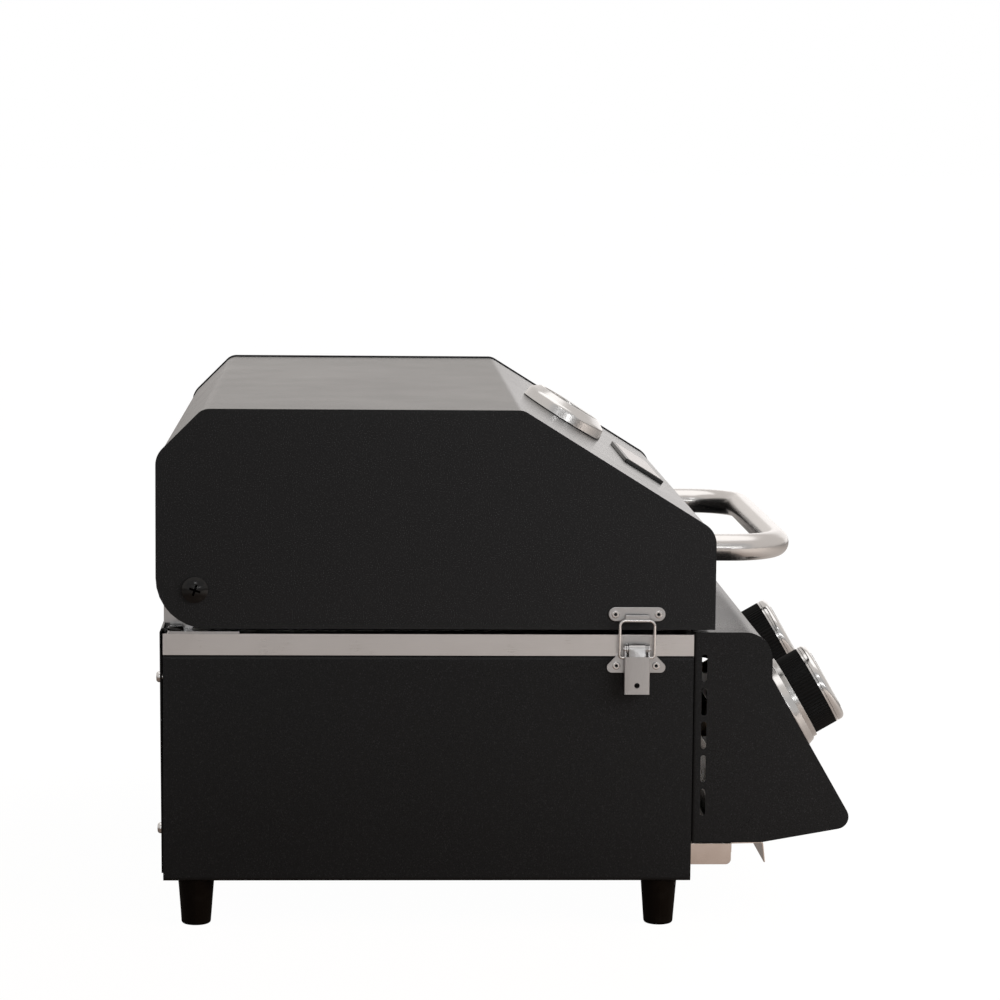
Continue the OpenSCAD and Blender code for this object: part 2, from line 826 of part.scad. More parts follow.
// Cheek of the control box with its vent slots and rear flange
module control_cheek(side) {
    t = sheet_t;
    fold = [[side_x - cheek_flange, front_y], [side_x, front_y], [side_x, front_y - nose_out]];
    color(satin_black) sided(side) difference() {
        intersection() {
            translate([0, 0, ctrl_z])
                linear_extrude(ctrl_top - ctrl_z) polygon(sheet(fold, [0, cheek_bend, 0], -t));
            along_x(side_x - cheek_flange - cut_past, side_x + cut_past)
                polygon(rounded(ctrl_outline, ctrl_radii));
        }
        for (i = [0:slot_count - 1])
            along_x(side_x - sheet_t - cut_past, side_x + cut_past)
                translate([front_y - slot_out, ctrl_top - slot_drop - i * slot_pitch])
                    slot_shape(slot_l, slot_w);
        if (side > 0)
            rod_x(side_x - cut_reach, side_x + cut_reach, valve_y, manifold_z, inlet_hole_r);
    }
}

// Bent control panel between the cheeks
module control_panel() {
    inset = panel_inset;
    outer = [
        [front_y - sheet_t, ctrl_top], [front_y - ctrl_top_d, ctrl_top], [front_y - ctrl_top_d, bend_z],
        [front_y - nose_out, nose_z], [front_y - under_d, ctrl_z]
    ];
    bends = [0, ctrl_r - inset, upright_bend + inset, nose_r - inset, 0];
    color(satin_black) difference() {
        along_x(-side_x + sheet_t, side_x - sheet_t)
            polygon(sheet(beside(outer, inset), bends, sheet_t));
        for (side = [-1, 1])
            on_panel(side * knob_pitch / 2) rod_z(-cut_reach, cut_reach, 0, 0, stem_hole_r);
    }
}

// Bright bezel rings on the panel under the knobs
module knob_bezels() {
    r = knob_d / 2 + bezel_out;
    mouth = knob_d / 2 + bezel_mouth_gap;
    shoulder = mouth + bezel_shoulder;
    groove_z = bezel_h - bezel_drop - bezel_groove;
    profile = [[bezel_bore, -panel_inset], [r, -panel_inset], [r, bezel_foot],
        [shoulder, bezel_h - bezel_drop], [shoulder, groove_z], [mouth + bezel_lip, groove_z],
        [mouth + bezel_lip, bezel_h], [mouth, bezel_h], [mouth, bezel_floor], [bezel_bore, bezel_floor]];
    color(polished)
        for (side = [-1, 1])
            on_panel(side * knob_pitch / 2)
                rotate_extrude() polygon(rounded(profile, bezel_radii));
}

// Valve body, its outlet nozzle, its inlet leg and the bores for plug and stem
module valve_body(side) {
    x = side * knob_pitch / 2;
    front = -panel_inset - sheet_t;
    color(brass) difference() {
        union() {
            on_panel(x) rod_z(-valve_l, front, 0, 0, valve_r);
            rod_y(valve_y, burner_front + nozzle_in, x, burner_z, nozzle_r);
            rod_z(manifold_z + manifold_r - leg_in, burner_z, x, valve_y, leg_r);
            rod_z(union_z, union_z + union_h, x, valve_y, union_r);
        }
        on_panel(x) {
            rod_z(plug_front - plug_l - plug_room, plug_front + plug_room, 0, 0, plug_r + run_gap);
            rod_z(plug_front, front + cut_past, 0, 0, stem_r + free_gap);
        }
    }
}

// Plug that turns inside the valve body, bored for the sliding stem
module valve_plug(side) {
    color(brass) on_panel(side * knob_pitch / 2) difference() {
        rod_z(plug_front - plug_l, plug_front, 0, 0, plug_r);
        rod_z(plug_front - stem_in - plug_room - push_travel, plug_front + cut_past, 0, 0, stem_r + run_gap);
    }
}
module valve_stem(side) {
    color(stainless) on_panel(side * knob_pitch / 2)
        rod_z(plug_front - stem_in, knob_back + knob_h - stem_grip, 0, 0, stem_r);
}

// Manifold tube under the valves and its threaded gas inlet
module gas_manifold() {
    start_x = -knob_pitch / 2 - manifold_over;
    color(stainless) difference() {
        rod_x(start_x, manifold_end, valve_y, manifold_z, manifold_r);
        rod_x(start_x + manifold_cap, manifold_end + cut_past, valve_y, manifold_z, manifold_r - manifold_t);
        for (side = [-1, 1])
            rod_z(manifold_z, manifold_z + manifold_r + cut_past, side * knob_pitch / 2, valve_y, leg_r);
    }
}
module gas_inlet() {
    l = inlet_hex_l;
    color(brass) difference() {
        union() {
            rod_x(manifold_end - l, manifold_end, valve_y, manifold_z, manifold_r - manifold_t - run_gap);
            translate([manifold_end, valve_y, manifold_z])
                rotate([0, 90, 0]) cylinder(h = l, r = inlet_hex_r, $fn = 6);
            rod_x(manifold_end + l, side_x + inlet_out, valve_y, manifold_z, inlet_r);
        }
        rod_x(manifold_end - l - cut_past, side_x + inlet_out + cut_past, valve_y, manifold_z, inlet_bore_r);
    }
}

// Tube burners with side ports, air windows and a rear peg
module burners() {
    port_room = mouth_back - mouth_front - 2 * port_margin;
    port_count = floor(port_room / port_pitch);
    color(stainless)
        for (side = [-1, 1]) {
            x = side * knob_pitch / 2;
            difference() {
                union() {
                    rod_y(burner_front, burner_back, x, burner_z, burner_r);
                    rod_y(burner_back - cut_past, mouth_back + liner_t, x, burner_z, peg_r);
                }
                rod_y(burner_front - cut_past, burner_back - 2 * burner_t, x, burner_z, burner_r - burner_t);
                for (i = [0:port_count])
                    rod_x(x - burner_r - cut_past, x + burner_r + cut_past,
                        mouth_front + port_margin + i * port_pitch, burner_z + port_up, port_r);
                translate([x, burner_front + window_back + window_l / 2, burner_z])
                    cube([2 * burner_r + cut_past, window_l, window_h], center = true);
            }
        }
}

// Slotted heat tents on their ledges over the burners
module heat_tents() {
    fold = [[-tent_w / 2, 0], [0, tent_h], [tent_w / 2, 0]];
    color(stainless)
        for (side = [-1, 1])
            translate([side * knob_pitch / 2, 0, tent_z]) difference() {
                along_y(mouth_front + tent_play, mouth_back - tent_play)
                    polygon(sheet(fold, [0, tent_bend, 0], tent_t));
                for (i = [-tent_slots:tent_slots])
                    translate([0, (mouth_front + mouth_back) / 2 + i * tent_slot_pitch, tent_h / 2])
                        cube([tent_w * 0.62, tent_slot_w, tent_h * 0.5], center = true);
            }
}

// Ceramic igniter electrodes beside the burners
module igniter_electrodes() {
    color([0.92, 0.90, 0.86])
        for (side = [-1, 1]) {
            x = side * knob_pitch / 2 + electrode_x;
            z = burner_z + electrode_up;
            tip = mouth_front + electrode_in;
            rod_y(mouth_front - electrode_back, tip, x, z, electrode_r);
            rod_y(tip - cut_past, tip + spark_l, x, z, spark_r);
        }
}

// Cooking grate with ridged bars
module grate(side) {
    w = mouth_x - 2 * grate_play;
    low = mouth_front + grate_play;
    high = mouth_back - grate_play;
    pitch = (w - bar_w) / (bar_count - 1);
    ridge = [
        [0, 0], [bar_w, 0], [bar_w, grate_h - ridge_h],
        [bar_w * 0.7, grate_h], [bar_w * 0.3, grate_h], [0, grate_h - ridge_h]
    ];
    color(iron) sided(side) translate([grate_play, 0, ledge_z]) {
        for (i = [0:bar_count - 1])
            translate([i * pitch, 0, 0]) along_y(low, high) polygon(ridge);
        for (y = [low, (low + high) / 2 - bar_w / 2, high - bar_w])
            block([bar_w / 2, y, 0], [w - bar_w / 2, y + bar_w, grate_h - cross_drop]);
    }
}

// Hinge bracket standing on the rim, with the fixed hinge screw
module hinge_bracket(side) {
    x0 = bracket_in_x;
    x1 = x0 + bracket_t;
    hem_top = rim_z + hem_rise + hem_clear;
    toe_y = hinge_y - bracket_r - bracket_toe;
    outline = [
        [back_y - hem_in, rim_z], [back_y - hem_in, hem_top], [back_y, hem_top],
        [back_y, hinge_z + bracket_r], [hinge_y - bracket_r, hinge_z + bracket_r],
        [hinge_y - bracket_r, hinge_z - bracket_neck], [back_y - bracket_stem, rim_z]
    ];
    color(stainless) sided(side) difference() {
        union() {
            along_x(x0, x1) polygon(rounded(outline, [0, 0, 0, bracket_r, bracket_r, bracket_fillet, 0]));
            block([x0, toe_y, rim_z], [bracket_x, back_y - hem_in, rim_z + bracket_t]);
        }
        rod_x(x0 - cut_past, x1 + cut_past, hinge_y, hinge_z, hinge_r);
        bracket_screw_at(1) rod_z(-cut_reach, cut_reach, 0, 0, bracket_screw_r);
    }
}
module hinge_screws() {
    x1 = hood_x + free_gap;
    x0 = bracket_in_x - nut_h;
    color(rubber_black)
        for (side = [-1, 1])
            sided(side) {
                translate([x1, hinge_y, hinge_z]) rotate([0, 90, 0]) difference() {
                    truss_head(hinge_head_d / 2, hinge_head_h, hinge_brim);
                    translate([0, 0, hinge_head_h])
                        cross_recess(hinge_recess_r, hinge_head_h / 2, hinge_turn);
                }
                rod_x(x0, x1, hinge_y, hinge_z, hinge_r);
                rod_x(bracket_in_x + bracket_t, hood_in_x - free_gap, hinge_y, hinge_z, spacer_r);
                translate([x0, hinge_y, hinge_z])
                    rotate([0, 90, 0]) cylinder(h = nut_h, r = nut_r, $fn = 6);
            }
}
module bracket_screw_at(side) {
    translate([side * bracket_screw_x, bracket_screw_y, rim_z]) children();
}
module bracket_screws() {
    color(rubber_black)
        for (side = [-1, 1])
            bracket_screw_at(side) {
                translate([0, 0, bracket_t]) difference() {
                    pan_head(bracket_head_r, bracket_head_h);
                    translate([0, 0, bracket_head_h])
                        cross_recess(bracket_head_r * 0.55, bracket_head_h / 2, hinge_turn);
                }
                rod_z(-bracket_screw_l, bracket_t, 0, 0, bracket_screw_r);
            }
}

// Latch base plate with its pivot ears and pin
module latch_plate(side) {
    half = plate_foot_w / 2;
    low = rim_z - foot_low;
    high = rim_z - foot_drop;
    neck = ear_out_y + neck_over;
    outline = [
        [-half, low], [half, low], [half, low + wing_low], [neck, low + wing_high], [neck, high],
        [-neck, high], [-neck, low + wing_high], [-half, low + wing_low]
    ];
    corners = [plate_corner_r, plate_corner_r, wing_r, wing_r, neck_r, neck_r, wing_r, wing_r];
    pin_l = lever_w / 2 + pin_over;
    color(stainless) sided(side) difference() {
        translate([0, latch_y, 0]) {
            along_x(side_x, side_x + latch_t) polygon(rounded(outline, corners));
            for (end = [-1, 1])
                translate([0, end * (ear_out_y - latch_t / 2), 0]) {
                    block([side_x + latch_t, -latch_t / 2, pivot_z - ear_r],
                        [side_x + pivot_out, latch_t / 2, pivot_z + ear_r]);
                    rod_y(-latch_t / 2, latch_t / 2, side_x + pivot_out, pivot_z, ear_r);
                }
            rod_y(-pin_l, pin_l, side_x + pivot_out, pivot_z, pivot_r);
        }
        for (end = [-1, 1])
            rod_x(side_x - cut_past, side_x + cut_reach, latch_y + end * plate_rivet_y,
                rim_z - plate_rivet_drop, rivet_r);
    }
}
module rivet_row(x, z, spread) {
    for (end = [-1, 1])
        translate([x, latch_y + end * spread, z])
            rotate([0, 90, 0]) difference() {
                union() {
                    pan_head(rivet_head_r, rivet_head_h);
                    rod_z(-latch_t - rivet_l, 0, 0, 0, rivet_r);
                }
                rod_z(-rivet_dimple, rivet_head_h + cut_past, 0, 0, rivet_dimple_r);
            }
}
module latch_plate_rivets() {
    color(stainless)
        for (side = [-1, 1])
            sided(side) rivet_row(side_x + latch_t, rim_z - plate_rivet_drop, plate_rivet_y);
}

// Channel-shaped latch lever
module latch_lever(side) {
    half = lever_w / 2;
    curl = ear_out_y - latch_t - free_gap;
    cheek = [[-lever_foot, 0], [-lever_foot, -lever_waist], [lever_tip, -lever_l],
        [lever_edge, -lever_l], [lever_edge, -lever_top], [lever_brow, 0]];
    web_out = lever_edge + latch_t;
    web_bend = latch_t - free_gap;
    web = [[lever_edge, -half], [web_out, -half], [web_out, half], [lever_edge, half]];
    color(stainless) sided(side) translate([side_x + pivot_out, latch_y, pivot_z]) difference() {
        union() {
            for (end = [-1, 1])
                translate([0, end * (half - latch_t / 2), 0])
                    along_y(-latch_t / 2, latch_t / 2) {
                        polygon(cheek);
                        circle(r = ear_r);
                    }
            translate([0, 0, -lever_l]) linear_extrude(lever_l - lever_top)
                polygon(rounded(web, [0, web_bend, web_bend, 0]));
            rod_y(-curl, curl, 0, 0, curl_r);
            block([0, -curl, -lever_top - latch_t], [lever_edge + cut_past / 2, curl, 0]);
        }
        rod_y(-half - cut_past, half + cut_past, 0, 0, pivot_r + run_gap);
        rod_y(-half - cut_past, half + cut_past, bail_step, -bail_arm, wire_r + run_gap);
        rod_x(0, lever_edge + latch_t + cut_past, 0, -lever_l + lever_hole_up, lever_hole_r);
    }
}

// Wire bail that pivots in the lever and reaches up to the keeper
module latch_bail(side) {
    reach = bail_w / 2 - wire_r;
    foot = lever_w / 2 - latch_t + bail_foot_gap;
    path = [[foot, 0], [reach, 0], [reach, bail_l], [-reach, bail_l], [-reach, 0], [-foot, 0]];
    color(stainless) sided(side)
        translate([side_x + bail_pivot_out, latch_y, bail_pivot_z])
            rotate([0, bail_lean, 0]) rotate([90, 0, 90])
                tube_path(path, [0, bail_low_bend, bail_bend, bail_bend, bail_low_bend, 0], wire_r);
}

// Keeper with its upturned hook on the hood side
module latch_keeper(side) {
    low = hook_z - hook_under;
    hook = [[hood_x, low], [side_x + hook_out, low], [side_x + hook_out, low + hook_rise]];
    color(stainless) sided(side) difference() {
        union() {
            translate([0, latch_y, low + keeper_h / 2])
                along_x(hood_x, hood_x + latch_t) rotate(90) slot_shape(keeper_w, keeper_h);
            along_y(latch_y - hook_w / 2, latch_y + hook_w / 2)
                polygon(sheet(hook, [0, hook_bend, 0], latch_t));
        }
        for (end = [-1, 1])
            rod_x(hood_x - cut_past, hood_x + cut_reach, latch_y + end * keeper_rivets_w / 2,
                low + keeper_h / 2, rivet_r);
    }
}
module keeper_rivets() {
    color(stainless)
        for (side = [-1, 1])
            sided(side) rivet_row(hood_x + latch_t, hook_z - hook_under + keeper_h / 2, keeper_rivets_w / 2);
}

// Rubber bumpers under the hood's front flange, feet and foot screws
module hood_bumpers() {
    color(rubber_black)
        for (side = [-1, 1])
            translate([side * (mouth_x - bumper_x), front_y + bumper_y, rim_z])
                pan_head(bumper_r, hood_gap + wrap_t - free_gap);
}
module feet() {
    profile = [
        [screw_r, foot_h], [screw_r, foot_bore_up], [foot_bore_r, foot_bore_up], [foot_bore_r, 0],
        [foot_low_d / 2, 0], [foot_top_d / 2, foot_h]
    ];
    color(rubber_black)
        for (side = [-1, 1])
            sided(side) foot_places_right() translate([0, 0, -foot_h])
                rotate_extrude() polygon(rounded(profile, [0, 0, 0, 0, foot_edge_r, 0]));
}
module foot_screws() {
    color(stainless)
        for (side = [-1, 1])
            sided(side) foot_places_right() {
                translate([0, 0, 2 * sheet_t]) pan_head(foot_head_r, foot_head_h);
                rod_z(foot_bore_up - foot_h, 2 * sheet_t, 0, 0, screw_r);
            }
}

// Bent hood sheet: front flange, front wall, slope, top, chamfer and rear wall
module hood_wrap() {
    path = concat([[wrap_path[0].x + lip_w, wrap_low_z], [wrap_path[0].x, wrap_low_z]],
        [for (i = [1:4]) wrap_path[i]], [[wrap_path[5].x, hinge_z]]);
    bends = [0, lip_bend, wrap_bends[1], wrap_bends[2], wrap_bends[3], wrap_bends[4], 0];
    notch_x = bracket_in_x - notch_gap;
    color(satin_black) difference() {
        along_x(-hood_in_x, hood_in_x) polygon(sheet(path, bends, -wrap_t));
        for (side = [-1, 1])
            sided(side) block([notch_x, hood_back_y - cut_reach, hinge_z - cut_past],
                [hood_in_x + cut_past, hood_back_y, hinge_z + hinge_notch_up]);
        on_slope(gauge_along) rod_z(-cut_reach, cut_reach, 0, 0, probe_r + probe_gap);
        for (side = [-1, 1])
            rod_y(hood_front_y, hood_front_y + cut_reach, side * handle_pitch / 2,
                hood_z + handle_up, handle_screw_r);
    }
}
module hood_side(side) {
    color(satin_black) sided(side) difference() {
        along_x(hood_in_x, hood_x) polygon(rounded(hood_outline, hood_radii));
        rod_x(hood_in_x - cut_past, hood_x + cut_past, hinge_y, hinge_z, hinge_r + run_gap);
        for (end = [-1, 1])
            rod_x(hood_in_x - cut_past, hood_x + cut_past, latch_y + end * keeper_rivets_w / 2,
                hook_z - hook_under + keeper_h / 2, rivet_r);
    }
}

// Bent tube handle and the screws that hold it
module handle() {
    root = -wrap_inset;
    reach = handle_pitch / 2;
    path = [[reach, root], [reach, handle_reach], [-reach, handle_reach], [-reach, root]];
    color(stainless) difference() {
        translate([0, hood_front_y, hood_z + handle_up]) mirror([0, 1, 0])
            tube_path(path, [0, handle_bend, handle_bend, 0], handle_d / 2);
        for (side = [-1, 1])
            rod_y(hood_front_y - handle_screw_l, hood_front_y + cut_reach, side * reach,
                hood_z + handle_up, handle_screw_r);
    }
}
module handle_screws() {
    inner_y = hood_front_y + wrap_inset + wrap_t;
    color(polished)
        for (side = [-1, 1])
            translate([side * handle_pitch / 2, inner_y, hood_z + handle_up]) rotate([-90, 0, 0]) {
                rod_z(0, washer_t, 0, 0, washer_r);
                translate([0, 0, washer_t]) difference() {
                    pan_head(handle_head_r, handle_head_h);
                    translate([0, 0, handle_head_h]) cross_recess(handle_head_r * 0.6, handle_head_h / 2, 0);
                }
                rod_z(hood_front_y - inner_y - handle_screw_l, washer_t / 2, 0, 0, handle_screw_r);
            }
}

// Temperature gauge: case, dial, needle, glass and probe
module gauge_case() {
    r = gauge_d / 2;
    bowl = r - gauge_rim;
    profile = [[probe_r, 0], [r, 0], [r - gauge_lean, gauge_wall], [r - gauge_crown, gauge_h],
        [bowl, gauge_h], [bowl, dial_z], [probe_r, dial_z]];
    color(polished) on_slope(gauge_along)
        rotate_extrude() polygon(rounded(profile, gauge_radii));
}
module gauge_dial() {
    color([0.94, 0.94, 0.93]) on_slope(gauge_along) {
        rod_z(dial_z, dial_z + dial_t, 0, 0, gauge_d / 2 - gauge_rim);
        rod_z(dial_z + dial_t, pin_top, 0, 0, pin_r);
    }
}
module gauge_needle() {
    tip = gauge_d / 2 - gauge_rim - needle_short;
    w = needle_w;
    pointer = [[-needle_tail, -w], [0, -w], [tip, -w / 4], [tip, w / 4], [0, w], [-needle_tail, w]];
    color([0.75, 0.10, 0.08]) on_slope(gauge_along) difference() {
        union() {
            translate([0, 0, needle_z]) rotate(needle_start) linear_extrude(needle_t) polygon(pointer);
            rod_z(needle_z, needle_z + needle_hub_h, 0, 0, needle_hub_r);
        }
        rod_z(dial_z, pin_top + cut_past, 0, 0, pin_r + run_gap);
    }
}
module gauge_glass() {
    color([0.85, 0.90, 0.92, 0.3]) on_slope(gauge_along)
        rod_z(gauge_h - glass_drop, gauge_h - glass_drop + glass_t, 0, 0, gauge_d / 2 - gauge_rim);
}
module gauge_probe() {
    color(stainless) on_slope(gauge_along) {
        rod_z(-probe_l, dial_z, 0, 0, probe_r);
        translate([0, 0, -wrap_t - probe_nut_h]) cylinder(h = probe_nut_h, r = probe_nut_r, $fn = 6);
    }
}
module badge_plate() {
    color([0.10, 0.10, 0.10]) on_slope(plate_along)
        linear_extrude(plate_t)
            polygon(rounded([[-plate_w / 2, -plate_h / 2], [plate_w / 2, -plate_h / 2],
                [plate_w / 2, plate_h / 2], [-plate_w / 2, plate_h / 2]], [for (i = [0:3]) badge_r]));
}

// Ribbed knob ring with its hub, and the bright cap with its grip
module knob(side) {
    r = knob_d / 2;
    ribs = [for (i = [0:2 * knob_ribs - 1])
        spin([i % 2 == 0 ? r : r - rib_depth, 0], i * 180 / knob_ribs)];
    color([0.09, 0.09, 0.09]) on_panel(side * knob_pitch / 2) translate([0, 0, knob_back]) difference() {
        linear_extrude(knob_h) polygon(ribs);
        rod_z(-cut_past, knob_hollow, 0, 0, r - knob_wall);
        rod_z(knob_hollow - cut_past, knob_h - stem_grip, 0, 0, stem_r);
    }
}
module knob_cap(side) {
    r = knob_d / 2;
    rim = r - cap_rim;
    dish = cap_h - dish_d;
    neck = r - cap_groove_d;
    neck_top = cap_foot + cap_groove_w;
    profile = [[0, 0], [r, 0], [r, cap_foot], [neck, cap_foot], [neck, neck_top], [r, neck_top],
        [r, cap_h], [rim, cap_h], [rim - dish_fall, dish], [0, dish]];
    color(polished) on_panel(side * knob_pitch / 2) translate([0, 0, knob_back + knob_h]) {
        rotate_extrude() polygon(rounded(profile, [0, 0, 0, 0, 0, 0, cap_r, dish_bend, dish_bend, 0]));
        translate([0, 0, dish - cut_past])
            linear_extrude(dish_d + cut_past + grip_up) slot_shape(2 * (r - grip_in), grip_w);
    }
}

// Drip tray and its bent pull
module drip_tray() {
    t = tray_t;
    outer = [[tray_front, tray_z], [tray_back, tray_z], [tray_back, tray_top], [tray_front, tray_top]];
    inner = [[tray_front + t, tray_z + t], [tray_back - t, tray_z + t],
        [tray_back - t, tray_top + cut_past], [tray_front + t, tray_top + cut_past]];
    color(polished) difference() {
        along_x(-tray_x, tray_x) polygon(rounded(outer, [tray_r, tray_r, 0, 0]));
        along_x(-tray_x + t, tray_x - t) polygon(rounded(inner, [tray_r - t, tray_r - t, 0, 0]));
    }
}
module tray_pull() {
    path = [
        [tray_front, tray_z + tray_h / 2], [tray_front, tray_top - pull_dip],
        [tray_front - pull_d, tray_top], [tray_front - pull_d - pull_lean, tray_z + pull_low]
    ];
    color(stainless) along_x(-tray_x + pull_in, tray_x - pull_in)
        polygon(sheet(path, [0, pull_root_bend, pull_bend, 0], tray_t));
}

firebox();
side_panel(-1);  // side_panel_left
side_panel(1);  // side_panel_right
rear_panel();
rear_panel_screws();
floor_panel();
front_panel();
tray_rails();
control_cheek(-1);  // control_cheek_left
control_cheek(1);  // control_cheek_right
control_panel();
knob_bezels();
valve_body(-1);  // valve_body_left
valve_body(1);  // valve_body_right
gas_manifold();
gas_inlet();
burners();
heat_tents();
igniter_electrodes();
grate(-1);  // grate_left
grate(1);  // grate_right
hinge_bracket(-1);  // hinge_bracket_left
hinge_bracket(1);  // hinge_bracket_right
hinge_screws();
bracket_screws();
latch_plate(-1);  // latch_plate_left
latch_plate(1);  // latch_plate_right
latch_plate_rivets();
hood_bumpers();
feet();
foot_screws();
hood_wrap();
hood_side(-1);  // hood_side_left
hood_side(1);  // hood_side_right
handle();
handle_screws();
gauge_case();
gauge_dial();
gauge_glass();
gauge_probe();
badge_plate();
latch_keeper(-1);  // latch_keeper_left
latch_keeper(1);  // latch_keeper_right
keeper_rivets();
gauge_needle();
latch_lever(-1);  // latch_lever_left
latch_lever(1);  // latch_lever_right
latch_bail(-1);  // latch_bail_left
latch_bail(1);  // latch_bail_right
valve_plug(-1);  // valve_plug_left
valve_plug(1);  // valve_plug_right
valve_stem(-1);  // valve_stem_left
valve_stem(1);  // valve_stem_right
knob(-1);  // knob_left
knob(1);  // knob_right
knob_cap(-1);  // knob_cap_left
knob_cap(1);  // knob_cap_right
drip_tray();
tray_pull();
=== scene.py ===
import json
from math import cos, radians, sin

import bmesh
import bpy
from mathutils import Matrix, Vector


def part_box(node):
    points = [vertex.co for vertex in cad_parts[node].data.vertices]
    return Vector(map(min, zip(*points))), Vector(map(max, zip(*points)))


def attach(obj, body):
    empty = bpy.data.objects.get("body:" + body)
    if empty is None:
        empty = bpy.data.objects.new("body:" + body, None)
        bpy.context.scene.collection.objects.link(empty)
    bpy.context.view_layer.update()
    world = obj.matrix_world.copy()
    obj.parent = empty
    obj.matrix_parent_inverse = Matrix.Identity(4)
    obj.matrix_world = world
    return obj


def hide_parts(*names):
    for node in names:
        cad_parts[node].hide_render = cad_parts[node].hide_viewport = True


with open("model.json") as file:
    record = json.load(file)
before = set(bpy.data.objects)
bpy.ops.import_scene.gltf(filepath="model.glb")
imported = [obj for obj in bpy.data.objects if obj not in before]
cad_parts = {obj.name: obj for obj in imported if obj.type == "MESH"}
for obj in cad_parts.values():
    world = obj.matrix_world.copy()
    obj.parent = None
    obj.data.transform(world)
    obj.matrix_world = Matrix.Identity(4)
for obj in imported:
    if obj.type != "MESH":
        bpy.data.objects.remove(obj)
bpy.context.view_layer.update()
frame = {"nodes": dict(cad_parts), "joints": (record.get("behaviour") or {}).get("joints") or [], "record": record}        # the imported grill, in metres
nodes = frame["nodes"]
record = frame["record"]
joints = {joint["name"]: joint for joint in frame["joints"]}
bodies = record["behaviour"]["bodies"]
bodyOf = {node: body for body, members in bodies.items() for node in members}
scene = bpy.context.scene
mm = 0.001


class Wire:  # a socket that takes plain arithmetic
    def __init__(self, finish, socket):
        self.finish = finish
        self.socket = socket

    def __add__(self, other):
        return self.finish.maths("ADD", self, other)

    def __sub__(self, other):
        return self.finish.maths("SUBTRACT", self, other)

    def __rsub__(self, other):
        return self.finish.maths("SUBTRACT", other, self)

    def __mul__(self, other):
        return self.finish.maths("MULTIPLY", self, other)

    __radd__ = __add__
    __rmul__ = __mul__

    def sway(self, reach):  # a noise's swing about its middle, scaled to this reach
        return (self - 0.5) * reach


class Finish:  # one material or world, and the nodes that feed it
    def __init__(self, holder):
        holder.use_nodes = True
        self.holder = holder
        self.tree = holder.node_tree
        self.tree.nodes.clear()

    def feed(self, socket, value):
        if isinstance(value, Wire):
            self.tree.links.new(value.socket, socket)
        else:
            socket.default_value = value

    def make(self, kind, settings=None, sockets=None, out=0):
        node = self.tree.nodes.new(kind)
        for key, value in (settings or {}).items():
            if key == "stops":
                stops = node.color_ramp.elements
                while len(stops) < len(value):
                    stops.new(1)
                for stop, (place, colour) in zip(stops, value):
                    stop.position = place
                    stop.color = colour
            else:
                setattr(node, key, value)
        for key, value in (sockets or {}).items():
            self.feed(node.inputs[key], value)
        return Wire(self, node.outputs[out]) if node.outputs else None

    def maths(self, operation, first, second=0.0):
        return self.make("ShaderNodeMath", {"operation": operation}, {0: first, 1: second})

    def spot(self, size, stretch=(1, 1, 1)):  # object coordinates counted in grains of size mm
        place = self.make("ShaderNodeTexCoord", out="Object")
        scale = [1 / (mm * size * along) for along in stretch]
        return self.make("ShaderNodeMapping", {}, {"Vector": place, "Scale": scale})

    def axes(self):  # object coordinates in mm, one wire for each
        return [self.make("ShaderNodeSeparateXYZ", {}, {0: self.spot(1)}, out=axis) for axis in "XYZ"]

    def noise(self, size, detail, stretch=(1, 1, 1), harshness=0.55):
        return self.make("ShaderNodeTexNoise", {}, {"Vector": self.spot(size, stretch), "Scale": 1.0,
                                                    "Detail": detail, "Roughness": harshness})

    def ramp(self, value, *stops):
        return self.make("ShaderNodeValToRGB", {"stops": stops}, {"Fac": value})

    def mask(self, value, low, high):  # 0 below low, 1 above high
        return self.make("ShaderNodeMapRange", {}, {"Value": value, "From Min": low, "From Max": high})

    def mix(self, share, first, second):
        return self.make("ShaderNodeMix", {"data_type": "RGBA"}, {0: share, 6: first, 7: second}, out=2)

    def blend(self, share, first, second):  # the same for whole shaders
        return self.make("ShaderNodeMixShader", {}, {0: share, 1: first, 2: second})

    def bump(self, height, depth):  # depth in mm
        return self.make("ShaderNodeBump", {}, {"Height": height, "Distance": depth * mm, "Strength": 1.0})

    def sightRays(self):  # what is seen straight or through glass, and what is seen mirrored
        straight, through, mirrored = (self.make("ShaderNodeLightPath", out=ray) for ray in
                                       ("Is Camera Ray", "Is Transmission Ray", "Is Glossy Ray"))
        return self.maths("MAXIMUM", straight, through), mirrored

    def show(self, shader, output="ShaderNodeOutputMaterial"):
        self.make(output, {}, {"Surface": shader})
        return self.holder

    def principled(self, sockets, paintedShade=None):  # paintedShade: share of painted shade, a black standing in for the dark inside a hole
        shader = self.make("ShaderNodeBsdfPrincipled", {}, sockets)
        if paintedShade:
            shader = self.blend(paintedShade, shader, self.make("ShaderNodeBsdfDiffuse", {}, {"Color": paintedShadeBlack}))
        return self.show(shader)


def newFinish(name):
    return Finish(bpy.data.materials.new(name))


def tint(red, green, blue):
    return (red, green, blue, 1.0)


# painted shade: the black painted into holes and recesses
paintedShadeBlack = tint(0.002, 0.002, 0.002)
pureWhite = tint(1, 1, 1)


# Finishes: sizes and depths in mm

def satinPaint(name, look):  # powder coat: fine grit, pale flecks, slow haze
    paint = newFinish(name)
    grit = paint.noise(look["gritSize"], 2)
    fleck = paint.mask(paint.noise(look["fleckSize"], 1), *look["fleckRange"])
    haze = paint.noise(look["hazeSize"], 3)
    colour = paint.mix(fleck, look["colour"], look["fleckColour"])
    rough = look["rough"] + haze.sway(look["hazeRough"]) + grit.sway(look["gritRough"])
    return paint.principled({"Base Color": colour, "Roughness": rough, "IOR": look["ior"],
                             "Normal": paint.bump(grit, look["gritDepth"])})


